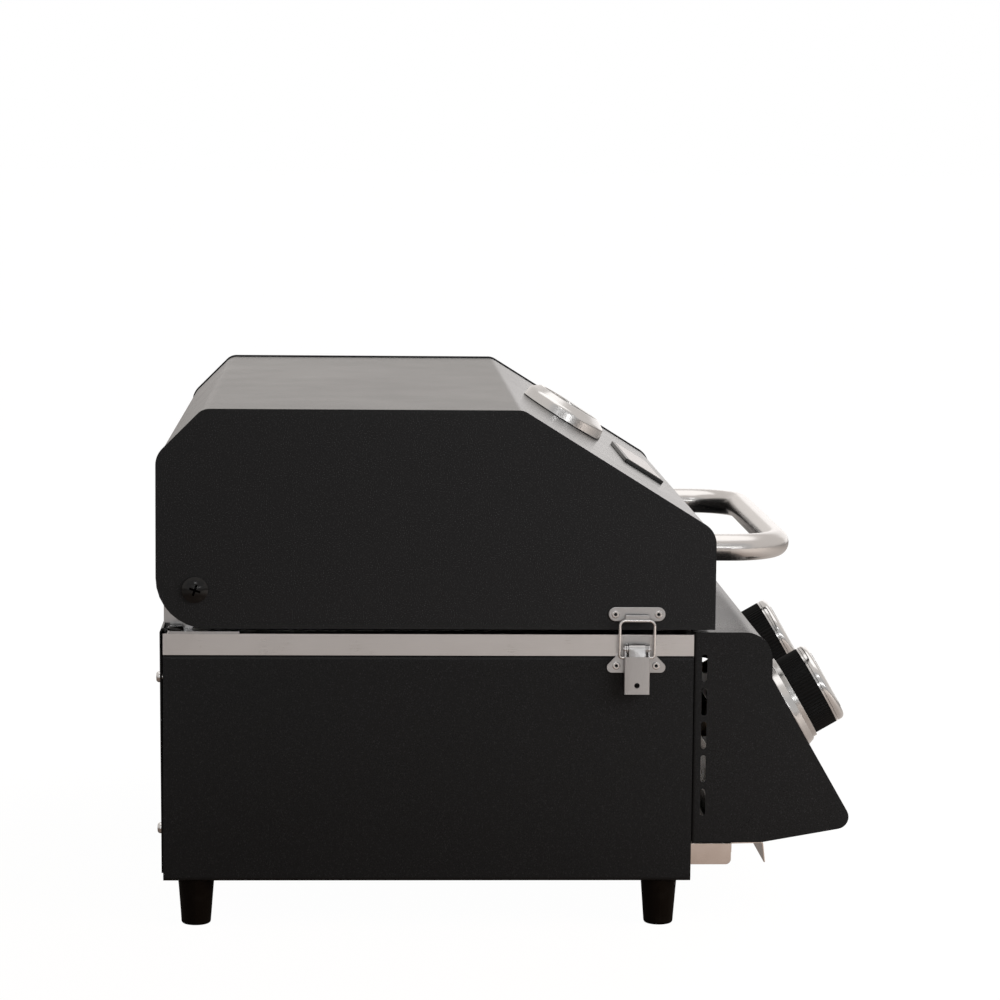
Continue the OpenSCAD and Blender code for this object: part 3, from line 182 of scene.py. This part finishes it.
paintLook = dict(colour=tint(0.0124, 0.0126, 0.0130), rough=0.245, ior=1.175,
                 fleckColour=tint(0.041, 0.041, 0.042), fleckSize=0.75, fleckRange=(0.58, 0.74),
                 gritSize=0.8, gritRough=0.08, gritDepth=0.003, hazeSize=70, hazeRough=0.06)
hoodPaint = satinPaint("hoodPaint", paintLook)
panelPaint = satinPaint("panelPaint", dict(paintLook, colour=tint(0.0096, 0.0097, 0.0100), rough=0.28,
                                           fleckColour=tint(0.026, 0.026, 0.027)))


def brushedSteel(name, look, paintedShade=None):  # lines along one axis, slow smears
    sheet = newFinish(name)
    lines = sheet.noise(look["lineSize"], 3, look["stretch"])
    smear = sheet.noise(look["smearSize"], 2)
    smeared = look["smearShare"]
    colour = sheet.mix(lines * (1 - smeared) + smear * smeared, look["dark"], look["light"])
    rough = look["rough"] + lines.sway(look["lineRough"]) + smear.sway(look["smearRough"])
    return sheet.principled({"Base Color": colour, "Metallic": 1.0, "Roughness": rough,
                             "Normal": sheet.bump(lines, look["lineDepth"])}, paintedShade and paintedShade(sheet))


def rivetHoleShade(node):  # painted shade: the pulled hole in each of a row's two rivets is painted black
    look = dict(hole=1.05, edge=1.35)
    low, high = (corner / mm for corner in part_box(node))
    reach = (high.z - low.z) / 2  # a rivet's radius

    def paintedShade(steel):
        _, along, up = steel.axes()
        up = up - (low.z + high.z) / 2
        first, last = along - (low.y + reach), along - (high.y - reach)
        near = steel.maths("MINIMUM", first * first, last * last) + up * up
        return 1 - steel.mask(near, look["hole"] ** 2, look["edge"] ** 2)
    return paintedShade


steelLook = dict(dark=tint(0.50, 0.49, 0.485), light=tint(0.62, 0.605, 0.60), rough=0.30,
                 lineSize=0.2, stretch=(1, 80, 1), lineRough=0.10, lineDepth=0.0015,
                 smearSize=30, smearShare=0.3, smearRough=0.10)
latchLook = dict(steelLook, dark=tint(0.36, 0.358, 0.36), light=tint(0.50, 0.497, 0.50), rough=0.32,
                 lineSize=0.3, stretch=(1, 1, 12))
pinLook = dict(latchLook, dark=tint(0.50, 0.49, 0.485), light=tint(0.66, 0.65, 0.64), rough=0.20,
               stretch=(1, 1, 1))
handleLook = dict(steelLook, dark=tint(0.44, 0.43, 0.42), light=tint(0.54, 0.525, 0.515), rough=0.24,
                  stretch=(60, 1, 1), lineRough=0.04, lineDepth=0.0002, smearRough=0.05)
# the tray's grey is the steel's own; its warm brown cast is a painted reflection of a brown table
trayLook = dict(steelLook, dark=tint(0.52, 0.47, 0.43), light=tint(0.84, 0.79, 0.75), rough=0.20,
                stretch=(60, 1, 1), smearSize=18, smearShare=0.6)
rimSteel = brushedSteel("rimSteel", steelLook)
latchSteel = brushedSteel("latchSteel", latchLook)
# painted shade: the rivets' pulled holes are painted black
plateRivet = brushedSteel("plateRivet", pinLook, rivetHoleShade("latch_plate_rivets"))
keeperRivet = brushedSteel("keeperRivet", pinLook, rivetHoleShade("keeper_rivets"))
bailSteel = brushedSteel("bailSteel", pinLook)
handleSteel = brushedSteel("handleSteel", handleLook)
traySteel = brushedSteel("traySteel", trayLook)
plainSteel = brushedSteel("plainSteel", dict(steelLook, stretch=(1, 1, 1), lineSize=0.5, rough=0.34))


def brightPlate(name, look):  # polished metal with faint smudges and hairlines
    plate = newFinish(name)
    smudge = plate.noise(look["smudgeSize"], 3)
    hair = plate.noise(look["hairSize"], 2)
    colour = plate.mix(smudge, look["dark"], look["light"])
    rough = look["rough"] + smudge.sway(look["smudgeRough"]) + hair.sway(look["hairRough"])
    return plate.principled({"Base Color": colour, "Metallic": 1.0, "Roughness": rough,
                             "Normal": plate.bump(hair, look["hairDepth"])})


chromeLook = dict(dark=tint(0.45, 0.445, 0.44), light=tint(0.56, 0.555, 0.55), rough=0.14,
                  smudgeSize=14, smudgeRough=0.08, hairSize=0.2, hairRough=0.05, hairDepth=0.0001)
chrome = brightPlate("chrome", chromeLook)
gaugeChrome = brightPlate("gaugeChrome", dict(chromeLook, rough=0.20, hairRough=0.01, hairDepth=0.00002))
bezelChrome = brightPlate("bezelChrome", dict(chromeLook, rough=0.22))
brass = brightPlate("brass", dict(chromeLook, dark=tint(0.46, 0.31, 0.12), light=tint(0.66, 0.47, 0.20),
                                  rough=0.3))


def burntSteel():  # straw and blue tints where the flame reaches
    look = dict(steel=(0.34, tint(0.42, 0.40, 0.385)), straw=(0.52, tint(0.40, 0.29, 0.17)),
                blue=(0.70, tint(0.16, 0.17, 0.24)), patchSize=46, grainSize=0.6, rough=0.38,
                grainRough=0.2, depth=0.02)
    sheet = newFinish("burntSteel")
    patch = sheet.noise(look["patchSize"], 3)
    grain = sheet.noise(look["grainSize"], 2)
    colour = sheet.ramp(patch, look["steel"], look["straw"], look["blue"])
    return sheet.principled({"Base Color": colour, "Metallic": 1.0,
                             "Roughness": look["rough"] + grain.sway(look["grainRough"]),
                             "Normal": sheet.bump(grain, look["depth"])})


def castIron():  # sand-cast skin under a matt coat
    look = dict(low=tint(0.011, 0.011, 0.012), high=tint(0.032, 0.031, 0.031), sandSize=0.8, lumpSize=5,
                sandShare=0.6, lumpShare=0.4, rough=0.62, lumpRough=0.2, depth=0.12)
    iron = newFinish("castIron")
    sand = iron.noise(look["sandSize"], 3)
    lump = iron.noise(look["lumpSize"], 2)
    skin = sand * look["sandShare"] + lump * look["lumpShare"]
    return iron.principled({"Base Color": iron.mix(skin, look["low"], look["high"]),
                            "Roughness": look["rough"] + lump.sway(look["lumpRough"]),
                            "Normal": iron.bump(skin, look["depth"])})


def mouldedBlack(name, look, paintedShade=None):  # rubber or plastic with a fine mould grain and a little dust
    mould = newFinish(name)
    grain = mould.noise(look["grainSize"], 2)
    dust = mould.mask(mould.noise(look["dustSize"], 4), *look["dustRange"])
    colour = mould.mix(dust, look["colour"], look["dustColour"])
    rough = look["rough"] + grain.sway(look["grainRough"]) + dust * look["dustRough"]
    return mould.principled({"Base Color": colour, "Roughness": rough, "IOR": look["ior"],
                             "Normal": mould.bump(grain, look["depth"])}, paintedShade and paintedShade(mould))


def screwCrossShade(screw):  # painted shade: the hinge screw's cross recess, what lies below its dome, is painted black
    look = dict(dome=16.5, shallow=0.12, deep=0.4, arm=4.4, past=5.0)
    low, high = (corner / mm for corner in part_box("hinge_screws"))
    out, along, up = screw.axes()
    along = along - (low.y + high.y) / 2
    up = up - (low.z + high.z) / 2
    far = along * along + up * up  # squared distance from the screw's axis
    under = high.x - far * (0.5 / look["dome"]) - screw.maths("ABSOLUTE", out)
    outside = screw.mask(far, look["arm"] ** 2, look["past"] ** 2)
    return screw.mask(under, look["shallow"], look["deep"]) * (1 - outside)


mouldLook = dict(dustRange=(0.5, 0.8), grainRough=0.12, dustRough=0.08)
rubber = mouldedBlack("rubber", dict(mouldLook, colour=tint(0.0034, 0.0022, 0.0014),
                                     dustColour=tint(0.006, 0.0045, 0.0035), grainSize=0.5, dustSize=9,
                                     rough=0.6, ior=1.13, depth=0.03))
knobPlastic = mouldedBlack("knobPlastic", dict(mouldLook, colour=tint(0.0020, 0.0020, 0.0020),
                                               dustColour=tint(0.0045, 0.0045, 0.0045), grainSize=0.3,
                                               dustSize=7, rough=0.44, ior=1.22, depth=0.01))
plateBlack = mouldedBlack("plateBlack", dict(mouldLook, colour=tint(0.008, 0.008, 0.008),
                                             dustColour=tint(0.016, 0.016, 0.016), grainSize=0.3,
                                             dustSize=8, rough=0.30, ior=1.45, depth=0.01))
oxideLook = dict(mouldLook, colour=tint(0.003, 0.0028, 0.0027), dustColour=tint(0.011, 0.010, 0.009),
                 grainSize=0.4, dustSize=3, rough=0.14, ior=1.32, depth=0.006)
blackOxide = mouldedBlack("blackOxide", oxideLook)
# painted shade: the hinge screw's cross recess is painted black
hingeOxide = mouldedBlack("hingeOxide", oxideLook, screwCrossShade)


def paintedFace(name, look):  # thin smooth paint with a faint mottle
    face = newFinish(name)
    mottle = face.noise(look["mottleSize"], 3)
    colour = face.mix(mottle, look["low"], look["high"])
    return face.principled({"Base Color": colour, "Metallic": look["metal"],
                            "Roughness": look["rough"] + mottle.sway(look["mottleRough"]),
                            "Normal": face.bump(mottle, look["depth"])})


faceLook = dict(metal=0.0, mottleRough=0.1, depth=0.004)
dialWhite = paintedFace("dialWhite", dict(faceLook, low=tint(0.74, 0.74, 0.72),
                                          high=tint(0.84, 0.84, 0.82), mottleSize=6, rough=0.5))
dialInk = paintedFace("dialInk", dict(faceLook, low=tint(0.012, 0.012, 0.013),
                                      high=tint(0.022, 0.022, 0.022), mottleSize=2, rough=0.5))
needleRed = paintedFace("needleRed", dict(faceLook, low=tint(0.42, 0.018, 0.014),
                                          high=tint(0.54, 0.03, 0.022), mottleSize=2, rough=0.4))
plateFace = paintedFace("plateFace", dict(faceLook, low=tint(0.27, 0.25, 0.245), metal=0.6,
                                          high=tint(0.34, 0.32, 0.31), mottleSize=9, rough=0.32))
ceramic = paintedFace("ceramic", dict(faceLook, low=tint(0.70, 0.68, 0.63), depth=0.01,
                                      high=tint(0.82, 0.80, 0.76), mottleSize=4, rough=0.25))


def gaugeGlass():  # clear pane with a few smudges
    look = dict(colour=tint(0.93, 0.97, 0.97), ior=1.46, rough=0.02, smudgeSize=10, smudgeRange=(0.5, 0.9),
                smudgeRough=0.05)
    pane = newFinish("gaugeGlass")
    smudge = pane.mask(pane.noise(look["smudgeSize"], 3), *look["smudgeRange"])
    return pane.principled({"Base Color": look["colour"], "Transmission Weight": 1.0, "IOR": look["ior"],
                            "Roughness": look["rough"] + smudge * look["smudgeRough"]})


print("finishes made:", len(bpy.data.materials))


# Pieces

meshLook = dict(weld=0.002, flat=0.6, sharp=35, segments=2)  # mm, degrees, degrees, steps round an edge


def addObject(name, shape, finish):  # at the origin, with its place in its mesh
    mesh = bpy.data.meshes.new(name)
    shape.to_mesh(mesh)
    shape.free()
    mesh.materials.append(finish)
    made = bpy.data.objects.new(name, mesh)
    scene.collection.objects.link(made)
    return made


def addPiece(name, shape, finish, body):
    piece = addObject(name, shape, finish)
    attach(piece, body)
    return piece


def weld(shape):
    bmesh.ops.remove_doubles(shape, verts=shape.verts, dist=meshLook["weld"] * mm)


def mergedCopy(name):  # a node's loose triangles, joined
    shape = bmesh.new()
    shape.from_mesh(nodes[name].data)
    weld(shape)
    return shape


def flatten(shape):  # one face for each flat stretch
    bmesh.ops.dissolve_limit(shape, angle_limit=radians(meshLook["flat"]), verts=shape.verts,
                             edges=shape.edges)


def smoothOver(mesh):
    mesh.polygons.foreach_set("use_smooth", [True] * len(mesh.polygons))
    mesh.set_sharp_from_angle(angle=radians(meshLook["sharp"]))


def coat(name, finish):  # a node whose shape is right takes the finish itself
    mesh = nodes[name].data
    mesh.materials.clear()
    mesh.materials.append(finish)


def soften(name, finish, edge):  # a copy of a node with rounded edges
    shape = mergedCopy(name)
    flatten(shape)
    piece = addPiece(name + "_soft", shape, finish, bodyOf[name])
    smoothOver(piece.data)
    rounding = piece.modifiers.new("roundedEdges", "BEVEL")
    rounding.width = edge * mm
    rounding.segments = meshLook["segments"]
    rounding.limit_method = "ANGLE"
    rounding.angle_limit = radians(meshLook["sharp"])
    rounding.harden_normals = True
    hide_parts(name)


def pair(name):
    return [name + "_left", name + "_right"]


softPieces = [  # nodes, finish, slot, edge radius in mm
    (pair("hood_side"), hoodPaint, "hood_paint", 0.6),
    (["hood_wrap"], hoodPaint, "hood_paint", 0.25),
    (pair("side_panel") + ["rear_panel"], panelPaint, "panel_paint", 0.3),
    (pair("control_cheek") + ["control_panel"], panelPaint, "panel_paint", 0.45),
    (["firebox"], rimSteel, "stainless", 0.3),
    (pair("hinge_bracket") + ["tray_rails"], latchSteel, "stainless", 0.35),
    (pair("latch_plate") + pair("latch_lever") + pair("latch_keeper"), latchSteel, "stainless", 0.4),
    (["drip_tray", "tray_pull"], traySteel, "tray_steel", 0.25),
    (pair("grate"), castIron(), "cast_iron", 0.7),
    (pair("knob_cap"), chrome, "chrome", 0.5),
    (["badge_plate"], plateBlack, "plate", 0.5),
]
for names, finish, slotName, edge in softPieces:
    for name in names:
        soften(name, finish, edge)
print("edges rounded")

plainNodes = [
    (["floor_panel", "front_panel"], panelPaint),
    (["handle"], handleSteel),
    (["gauge_case"], gaugeChrome),
    (["knob_bezels"], bezelChrome),
    (["rear_panel_screws", "handle_screws", "foot_screws"], chrome),
    (["latch_plate_rivets"], plateRivet),
    (["keeper_rivets"], keeperRivet),
    (pair("latch_bail"), bailSteel),
    (["burners", "heat_tents"], burntSteel()),
    (pair("valve_body") + pair("valve_plug"), brass),
    (["gas_manifold", "gauge_probe"] + pair("valve_stem"), plainSteel),
    (["feet", "hood_bumpers"], rubber),
    (pair("knob"), knobPlastic),
    (["hinge_screws"], hingeOxide),
    (["bracket_screws"], blackOxide),
    (["gauge_dial"], dialWhite),
    (["gauge_needle"], needleRed),
    (["gauge_glass"], gaugeGlass()),
    (["igniter_electrodes"], ceramic),
]
for names, finish in plainNodes:
    for name in names:
        coat(name, finish)
print("finishes on the remaining nodes")


def slopeFrame(node):  # axes of the hood's slope, Z out of it, from the middle of a node
    up = -Vector(joints["gauge_needle_turn"]["axis"])
    side = Vector((1, 0, 0))
    low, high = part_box(node)
    axes = Matrix((side, up.cross(side), up)).transposed().to_4x4()
    return Matrix.Translation((low + high) / 2) @ axes


def gaugeScale():  # ticks and numbers on the dial
    look = dict(dialTop=0.4, lift=0.05, thick=0.15, start=225, sweep=270, ring=24.5, steps=30, longEvery=5,
                longTick=4.2, shortTick=2.4, tickWide=0.7, numbers=6, numberStep=100, numberRing=16.4,
                numberSize=5.2)
    shape = bmesh.new()
    base = look["dialTop"] + look["lift"]
    for step in range(look["steps"] + 1):
        long = look["shortTick"] if step % look["longEvery"] else look["longTick"]
        turn = radians(look["start"] - look["sweep"] * step / look["steps"])
        place = (Matrix.Rotation(turn, 4, "Z") @ Matrix.Translation((look["ring"] - long / 2, 0, base))
                 @ Matrix.Diagonal((long, look["tickWide"], look["thick"], 1)))
        bmesh.ops.create_cube(shape, size=1, matrix=place)
    for count in range(1, look["numbers"] + 1):
        turn = radians(look["start"] - look["sweep"] * count / look["numbers"])
        words = bpy.data.curves.new("dialNumber", "FONT")
        words.body = str(look["numberStep"] * count)
        words.size = look["numberSize"]
        words.align_x = "CENTER"
        words.align_y = "CENTER"
        words.extrude = look["thick"] / 2
        holder = bpy.data.objects.new("dialNumber", words)
        scene.collection.objects.link(holder)
        bpy.context.view_layer.update()
        drawn = holder.evaluated_get(bpy.context.evaluated_depsgraph_get())
        flat = bpy.data.meshes.new_from_object(drawn)
        ring = look["numberRing"]
        flat.transform(Matrix.Translation((ring * cos(turn), ring * sin(turn), base)))
        shape.from_mesh(flat)
        bpy.data.objects.remove(holder)
        bpy.data.meshes.remove(flat)
    bmesh.ops.transform(shape, matrix=slopeFrame("gauge_dial") @ Matrix.Scale(mm, 4), verts=shape.verts)
    addPiece("gauge_scale", shape, dialInk, "hood")


def badgeFace():  # bare pale face let into the plate's black edge
    look = dict(plateThick=3.0, plateTall=35, margin=2.2, thick=0.35, sunk=0.05, edge=0.12)
    low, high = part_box("badge_plate")
    wide = high.x - low.x - 2 * look["margin"] * mm
    tall = (look["plateTall"] - 2 * look["margin"]) * mm
    lift = (look["plateThick"] / 2 + look["thick"] / 2 - look["sunk"]) * mm
    shape = bmesh.new()
    bmesh.ops.create_cube(shape, size=1, matrix=Matrix.Diagonal((wide, tall, look["thick"] * mm, 1)))
    bmesh.ops.translate(shape, verts=shape.verts, vec=(0, 0, lift))
    bmesh.ops.transform(shape, matrix=slopeFrame("badge_plate"), verts=shape.verts)
    bmesh.ops.bevel(shape, geom=shape.edges[:], offset=look["edge"] * mm, segments=2, profile=0.5,
                    affect="EDGES", material=-1)
    addPiece("badge_face", shape, plateFace, "hood")


def inletThread():  # the inlet's plain pin drawn in, with a screw thread round it up to its old radius
    look = dict(depth=0.8, pitch=1.41, crest=0.15, root=1.0, sunk=0.15, end=1.0, steps=40, slack=0.02)
    mount = next(row for row in record["mounts"] if row["name"] == "gas_inlet")
    middle = Vector(mount["pos_m"])

    def away(vert):  # distance from the pin's axis
        return (vert.co.yz - middle.yz).length

    core = mergedCopy("gas_inlet")
    radius = max(away(vert) for vert in core.verts if vert.co.x > middle.x)
    pin = [vert for vert in core.verts if abs(away(vert) - radius) < look["slack"] * mm]
    inner = radius - look["depth"] * mm
    bmesh.ops.scale(core, verts=pin, vec=(1, inner / radius, inner / radius),
                    space=Matrix.Translation(-middle))
    start = min(vert.co.x for vert in pin) + look["end"] * mm
    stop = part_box("gas_inlet")[1].x - look["end"] * mm
    flatten(core)
    piece = addPiece("gas_inlet_core", core, brass, bodyOf["gas_inlet"])
    smoothOver(piece.data)
    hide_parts("gas_inlet")
    ridge = bmesh.new()
    foot = inner - look["sunk"] * mm
    corners = [(-look["root"] / 2, foot), (-look["crest"] / 2, radius),
               (look["crest"] / 2, radius), (look["root"] / 2, foot)]
    profile = ridge.faces.new([ridge.verts.new((start + along * mm, middle.y, middle.z + out))
                               for along, out in corners])
    turns = int((stop - start) / (look["pitch"] * mm))
    bmesh.ops.spin(ridge, geom=[profile, *profile.verts, *profile.edges], cent=middle, axis=(1, 0, 0),
                   dvec=(look["pitch"] * mm / look["steps"], 0, 0), angle=radians(360 * turns),
                   steps=look["steps"] * turns, use_merge=False)
    weld(ridge)
    bmesh.ops.recalc_face_normals(ridge, faces=ridge.faces)
    smoothOver(addPiece("inlet_thread", ridge, brass, bodyOf["gas_inlet"]).data)


gaugeScale()
badgeFace()
inletThread()
print("small pieces added")


# Stage: sizes in metres

def studioFloor():  # white to the eye; in what it throws back, a brown table darker beside the grill with painted shade, and pale around it
    look = dict(half=40.0, under=tint(0.24, 0.145, 0.095), around=tint(0.72, 0.64, 0.585),
                middle=(-0.3, 0.28, 0), near=0.36, far=0.80, glow=0.92, glossyGlow=0.12, strength=1.07)
    shape = bmesh.new()
    bmesh.ops.create_grid(shape, x_segments=1, y_segments=1, size=look["half"])
    table = newFinish("floor")
    seen, mirrored = table.sightRays()
    share = seen * look["glow"] + mirrored * look["glossyGlow"]
    away = table.make("ShaderNodeVectorMath", {"operation": "DISTANCE"},
                      {0: table.spot(1 / mm), 1: look["middle"]}, out="Value")
    # painted shade: the floor goes darker within near to far of the grill's middle
    colour = table.mix(table.mask(away, look["near"], look["far"]), look["under"], look["around"])
    matt = table.make("ShaderNodeBsdfDiffuse", {}, {"Color": colour})
    white = table.make("ShaderNodeEmission", {}, {"Color": pureWhite, "Strength": look["strength"]})
    addObject("floor", shape, table.show(table.blend(share, matt, white)))


def studioWorld():  # white to the eye, warm in mirrors, dim as light
    look = dict(fill=0.34, warm=tint(1.0, 0.95, 0.91))
    sky = Finish(bpy.data.worlds.new("studio"))
    seen, mirrored = sky.sightRays()
    fill = sky.make("ShaderNodeBackground", {}, {"Color": pureWhite, "Strength": look["fill"]})
    shine = sky.make("ShaderNodeBackground", {}, {"Color": look["warm"], "Strength": 1.0})
    white = sky.make("ShaderNodeBackground", {}, {"Color": pureWhite, "Strength": 1.0})
    light = sky.blend(mirrored, fill, shine)
    scene.world = sky.show(sky.blend(seen, light, white), "ShaderNodeOutputWorld")


def glossCard(name, look):  # stands far off and is there for reflections alone
    shape = bmesh.new()
    bmesh.ops.create_grid(shape, x_segments=1, y_segments=1, size=0.5)  # a square of 1 m
    bmesh.ops.rotate(shape, verts=shape.verts, matrix=Matrix.Rotation(radians(90), 3, "Y"))
    bmesh.ops.scale(shape, verts=shape.verts, vec=(1, look["wide"], look["high"]))
    middle = look["low"] + look["high"] / 2
    bmesh.ops.translate(shape, verts=shape.verts, vec=(look["out"], look["along"], middle))
    sheet = newFinish(name)
    mirrored = sheet.make("ShaderNodeLightPath", out="Is Glossy Ray")
    clear = sheet.make("ShaderNodeBsdfTransparent")
    light = sheet.make("ShaderNodeEmission", {}, {"Color": look["colour"], "Strength": look["strength"]})
    addObject(name, shape, sheet.show(sheet.blend(mirrored, clear, light)))


def softbox(name, look):
    lamp = bpy.data.lights.new(name, "AREA")
    lamp.shape = "RECTANGLE"
    lamp.size, lamp.size_y = look["size"]
    lamp.energy = look["power"]
    box = bpy.data.objects.new(name, lamp)
    box.location = look["place"]
    aim = Vector(look["aim"]) - Vector(look["place"])
    box.rotation_euler = aim.to_track_quat("-Z", "Y").to_euler()
    box.visible_glossy = look["mirrored"]
    scene.collection.objects.link(box)


def photoCamera():  # solved from the photograph's straight edges
    look = dict(place=(-2.69226, 0.12137, 0.5851), yaw=2.5581, pitch=6.3676, roll=0.5308, lens=120.434,
                sensor=36, clipEnd=50)
    yaw, pitch, roll = (radians(look[key]) for key in ("yaw", "pitch", "roll"))
    lookAlong = Matrix(((0, -1, 0), (0, 0, -1), (1, 0, 0)))
    turn = Matrix(((cos(yaw), 0, -sin(yaw)), (0, 1, 0), (sin(yaw), 0, cos(yaw))))
    tip = Matrix(((1, 0, 0), (0, cos(pitch), -sin(pitch)), (0, sin(pitch), cos(pitch))))
    lean = Matrix(((cos(roll), -sin(roll), 0), (sin(roll), cos(roll), 0), (0, 0, 1)))
    right, down, ahead = lean @ tip @ turn @ lookAlong
    data = bpy.data.cameras.new("photoCamera")
    data.lens = look["lens"]
    data.sensor_width = look["sensor"]
    data.clip_end = look["clipEnd"]
    camera = bpy.data.objects.new("photoCamera", data)
    camera.matrix_world = (Matrix.Translation(look["place"])
                           @ Matrix((right, -down, -ahead)).transposed().to_4x4())
    scene.collection.objects.link(camera)
    scene.camera = camera


cards = dict(  # out is across the grill, along is from its front to its rear
    nearCard=dict(out=-4.4, along=0, wide=9.0, low=0, high=4.0, strength=1.0,
                  colour=tint(0.80, 0.79, 0.785)),
    stripCard=dict(out=-4.3, along=-0.6, wide=3.4, low=0.76, high=0.20, strength=7.0, colour=pureWhite),
    glintCard=dict(out=-4.3, along=0.2, wide=0.9, low=2.5, high=0.5, strength=6.0, colour=pureWhite),
    farCard=dict(out=4.4, along=-2.6, wide=4.4, low=0, high=3.2, strength=1.5,
                 colour=tint(1.0, 0.965, 0.945)),
)
lamps = dict(
    topBox=dict(place=(0.1, -0.2, 2.3), aim=(0, 0, 0.2), size=(2.4, 2.0), power=16, mirrored=True),
    frontBox=dict(place=(-0.95, -1.05, 0.8), aim=(-0.28, -0.05, 0.25), size=(1.0, 1.0), power=22,
                  mirrored=False),
)
studioFloor()
studioWorld()
for name, look in cards.items():
    glossCard(name, look)
for name, look in lamps.items():
    softbox(name, look)
photoCamera()
scene.view_settings.view_transform = "Standard"
print("stage, lights and camera set")
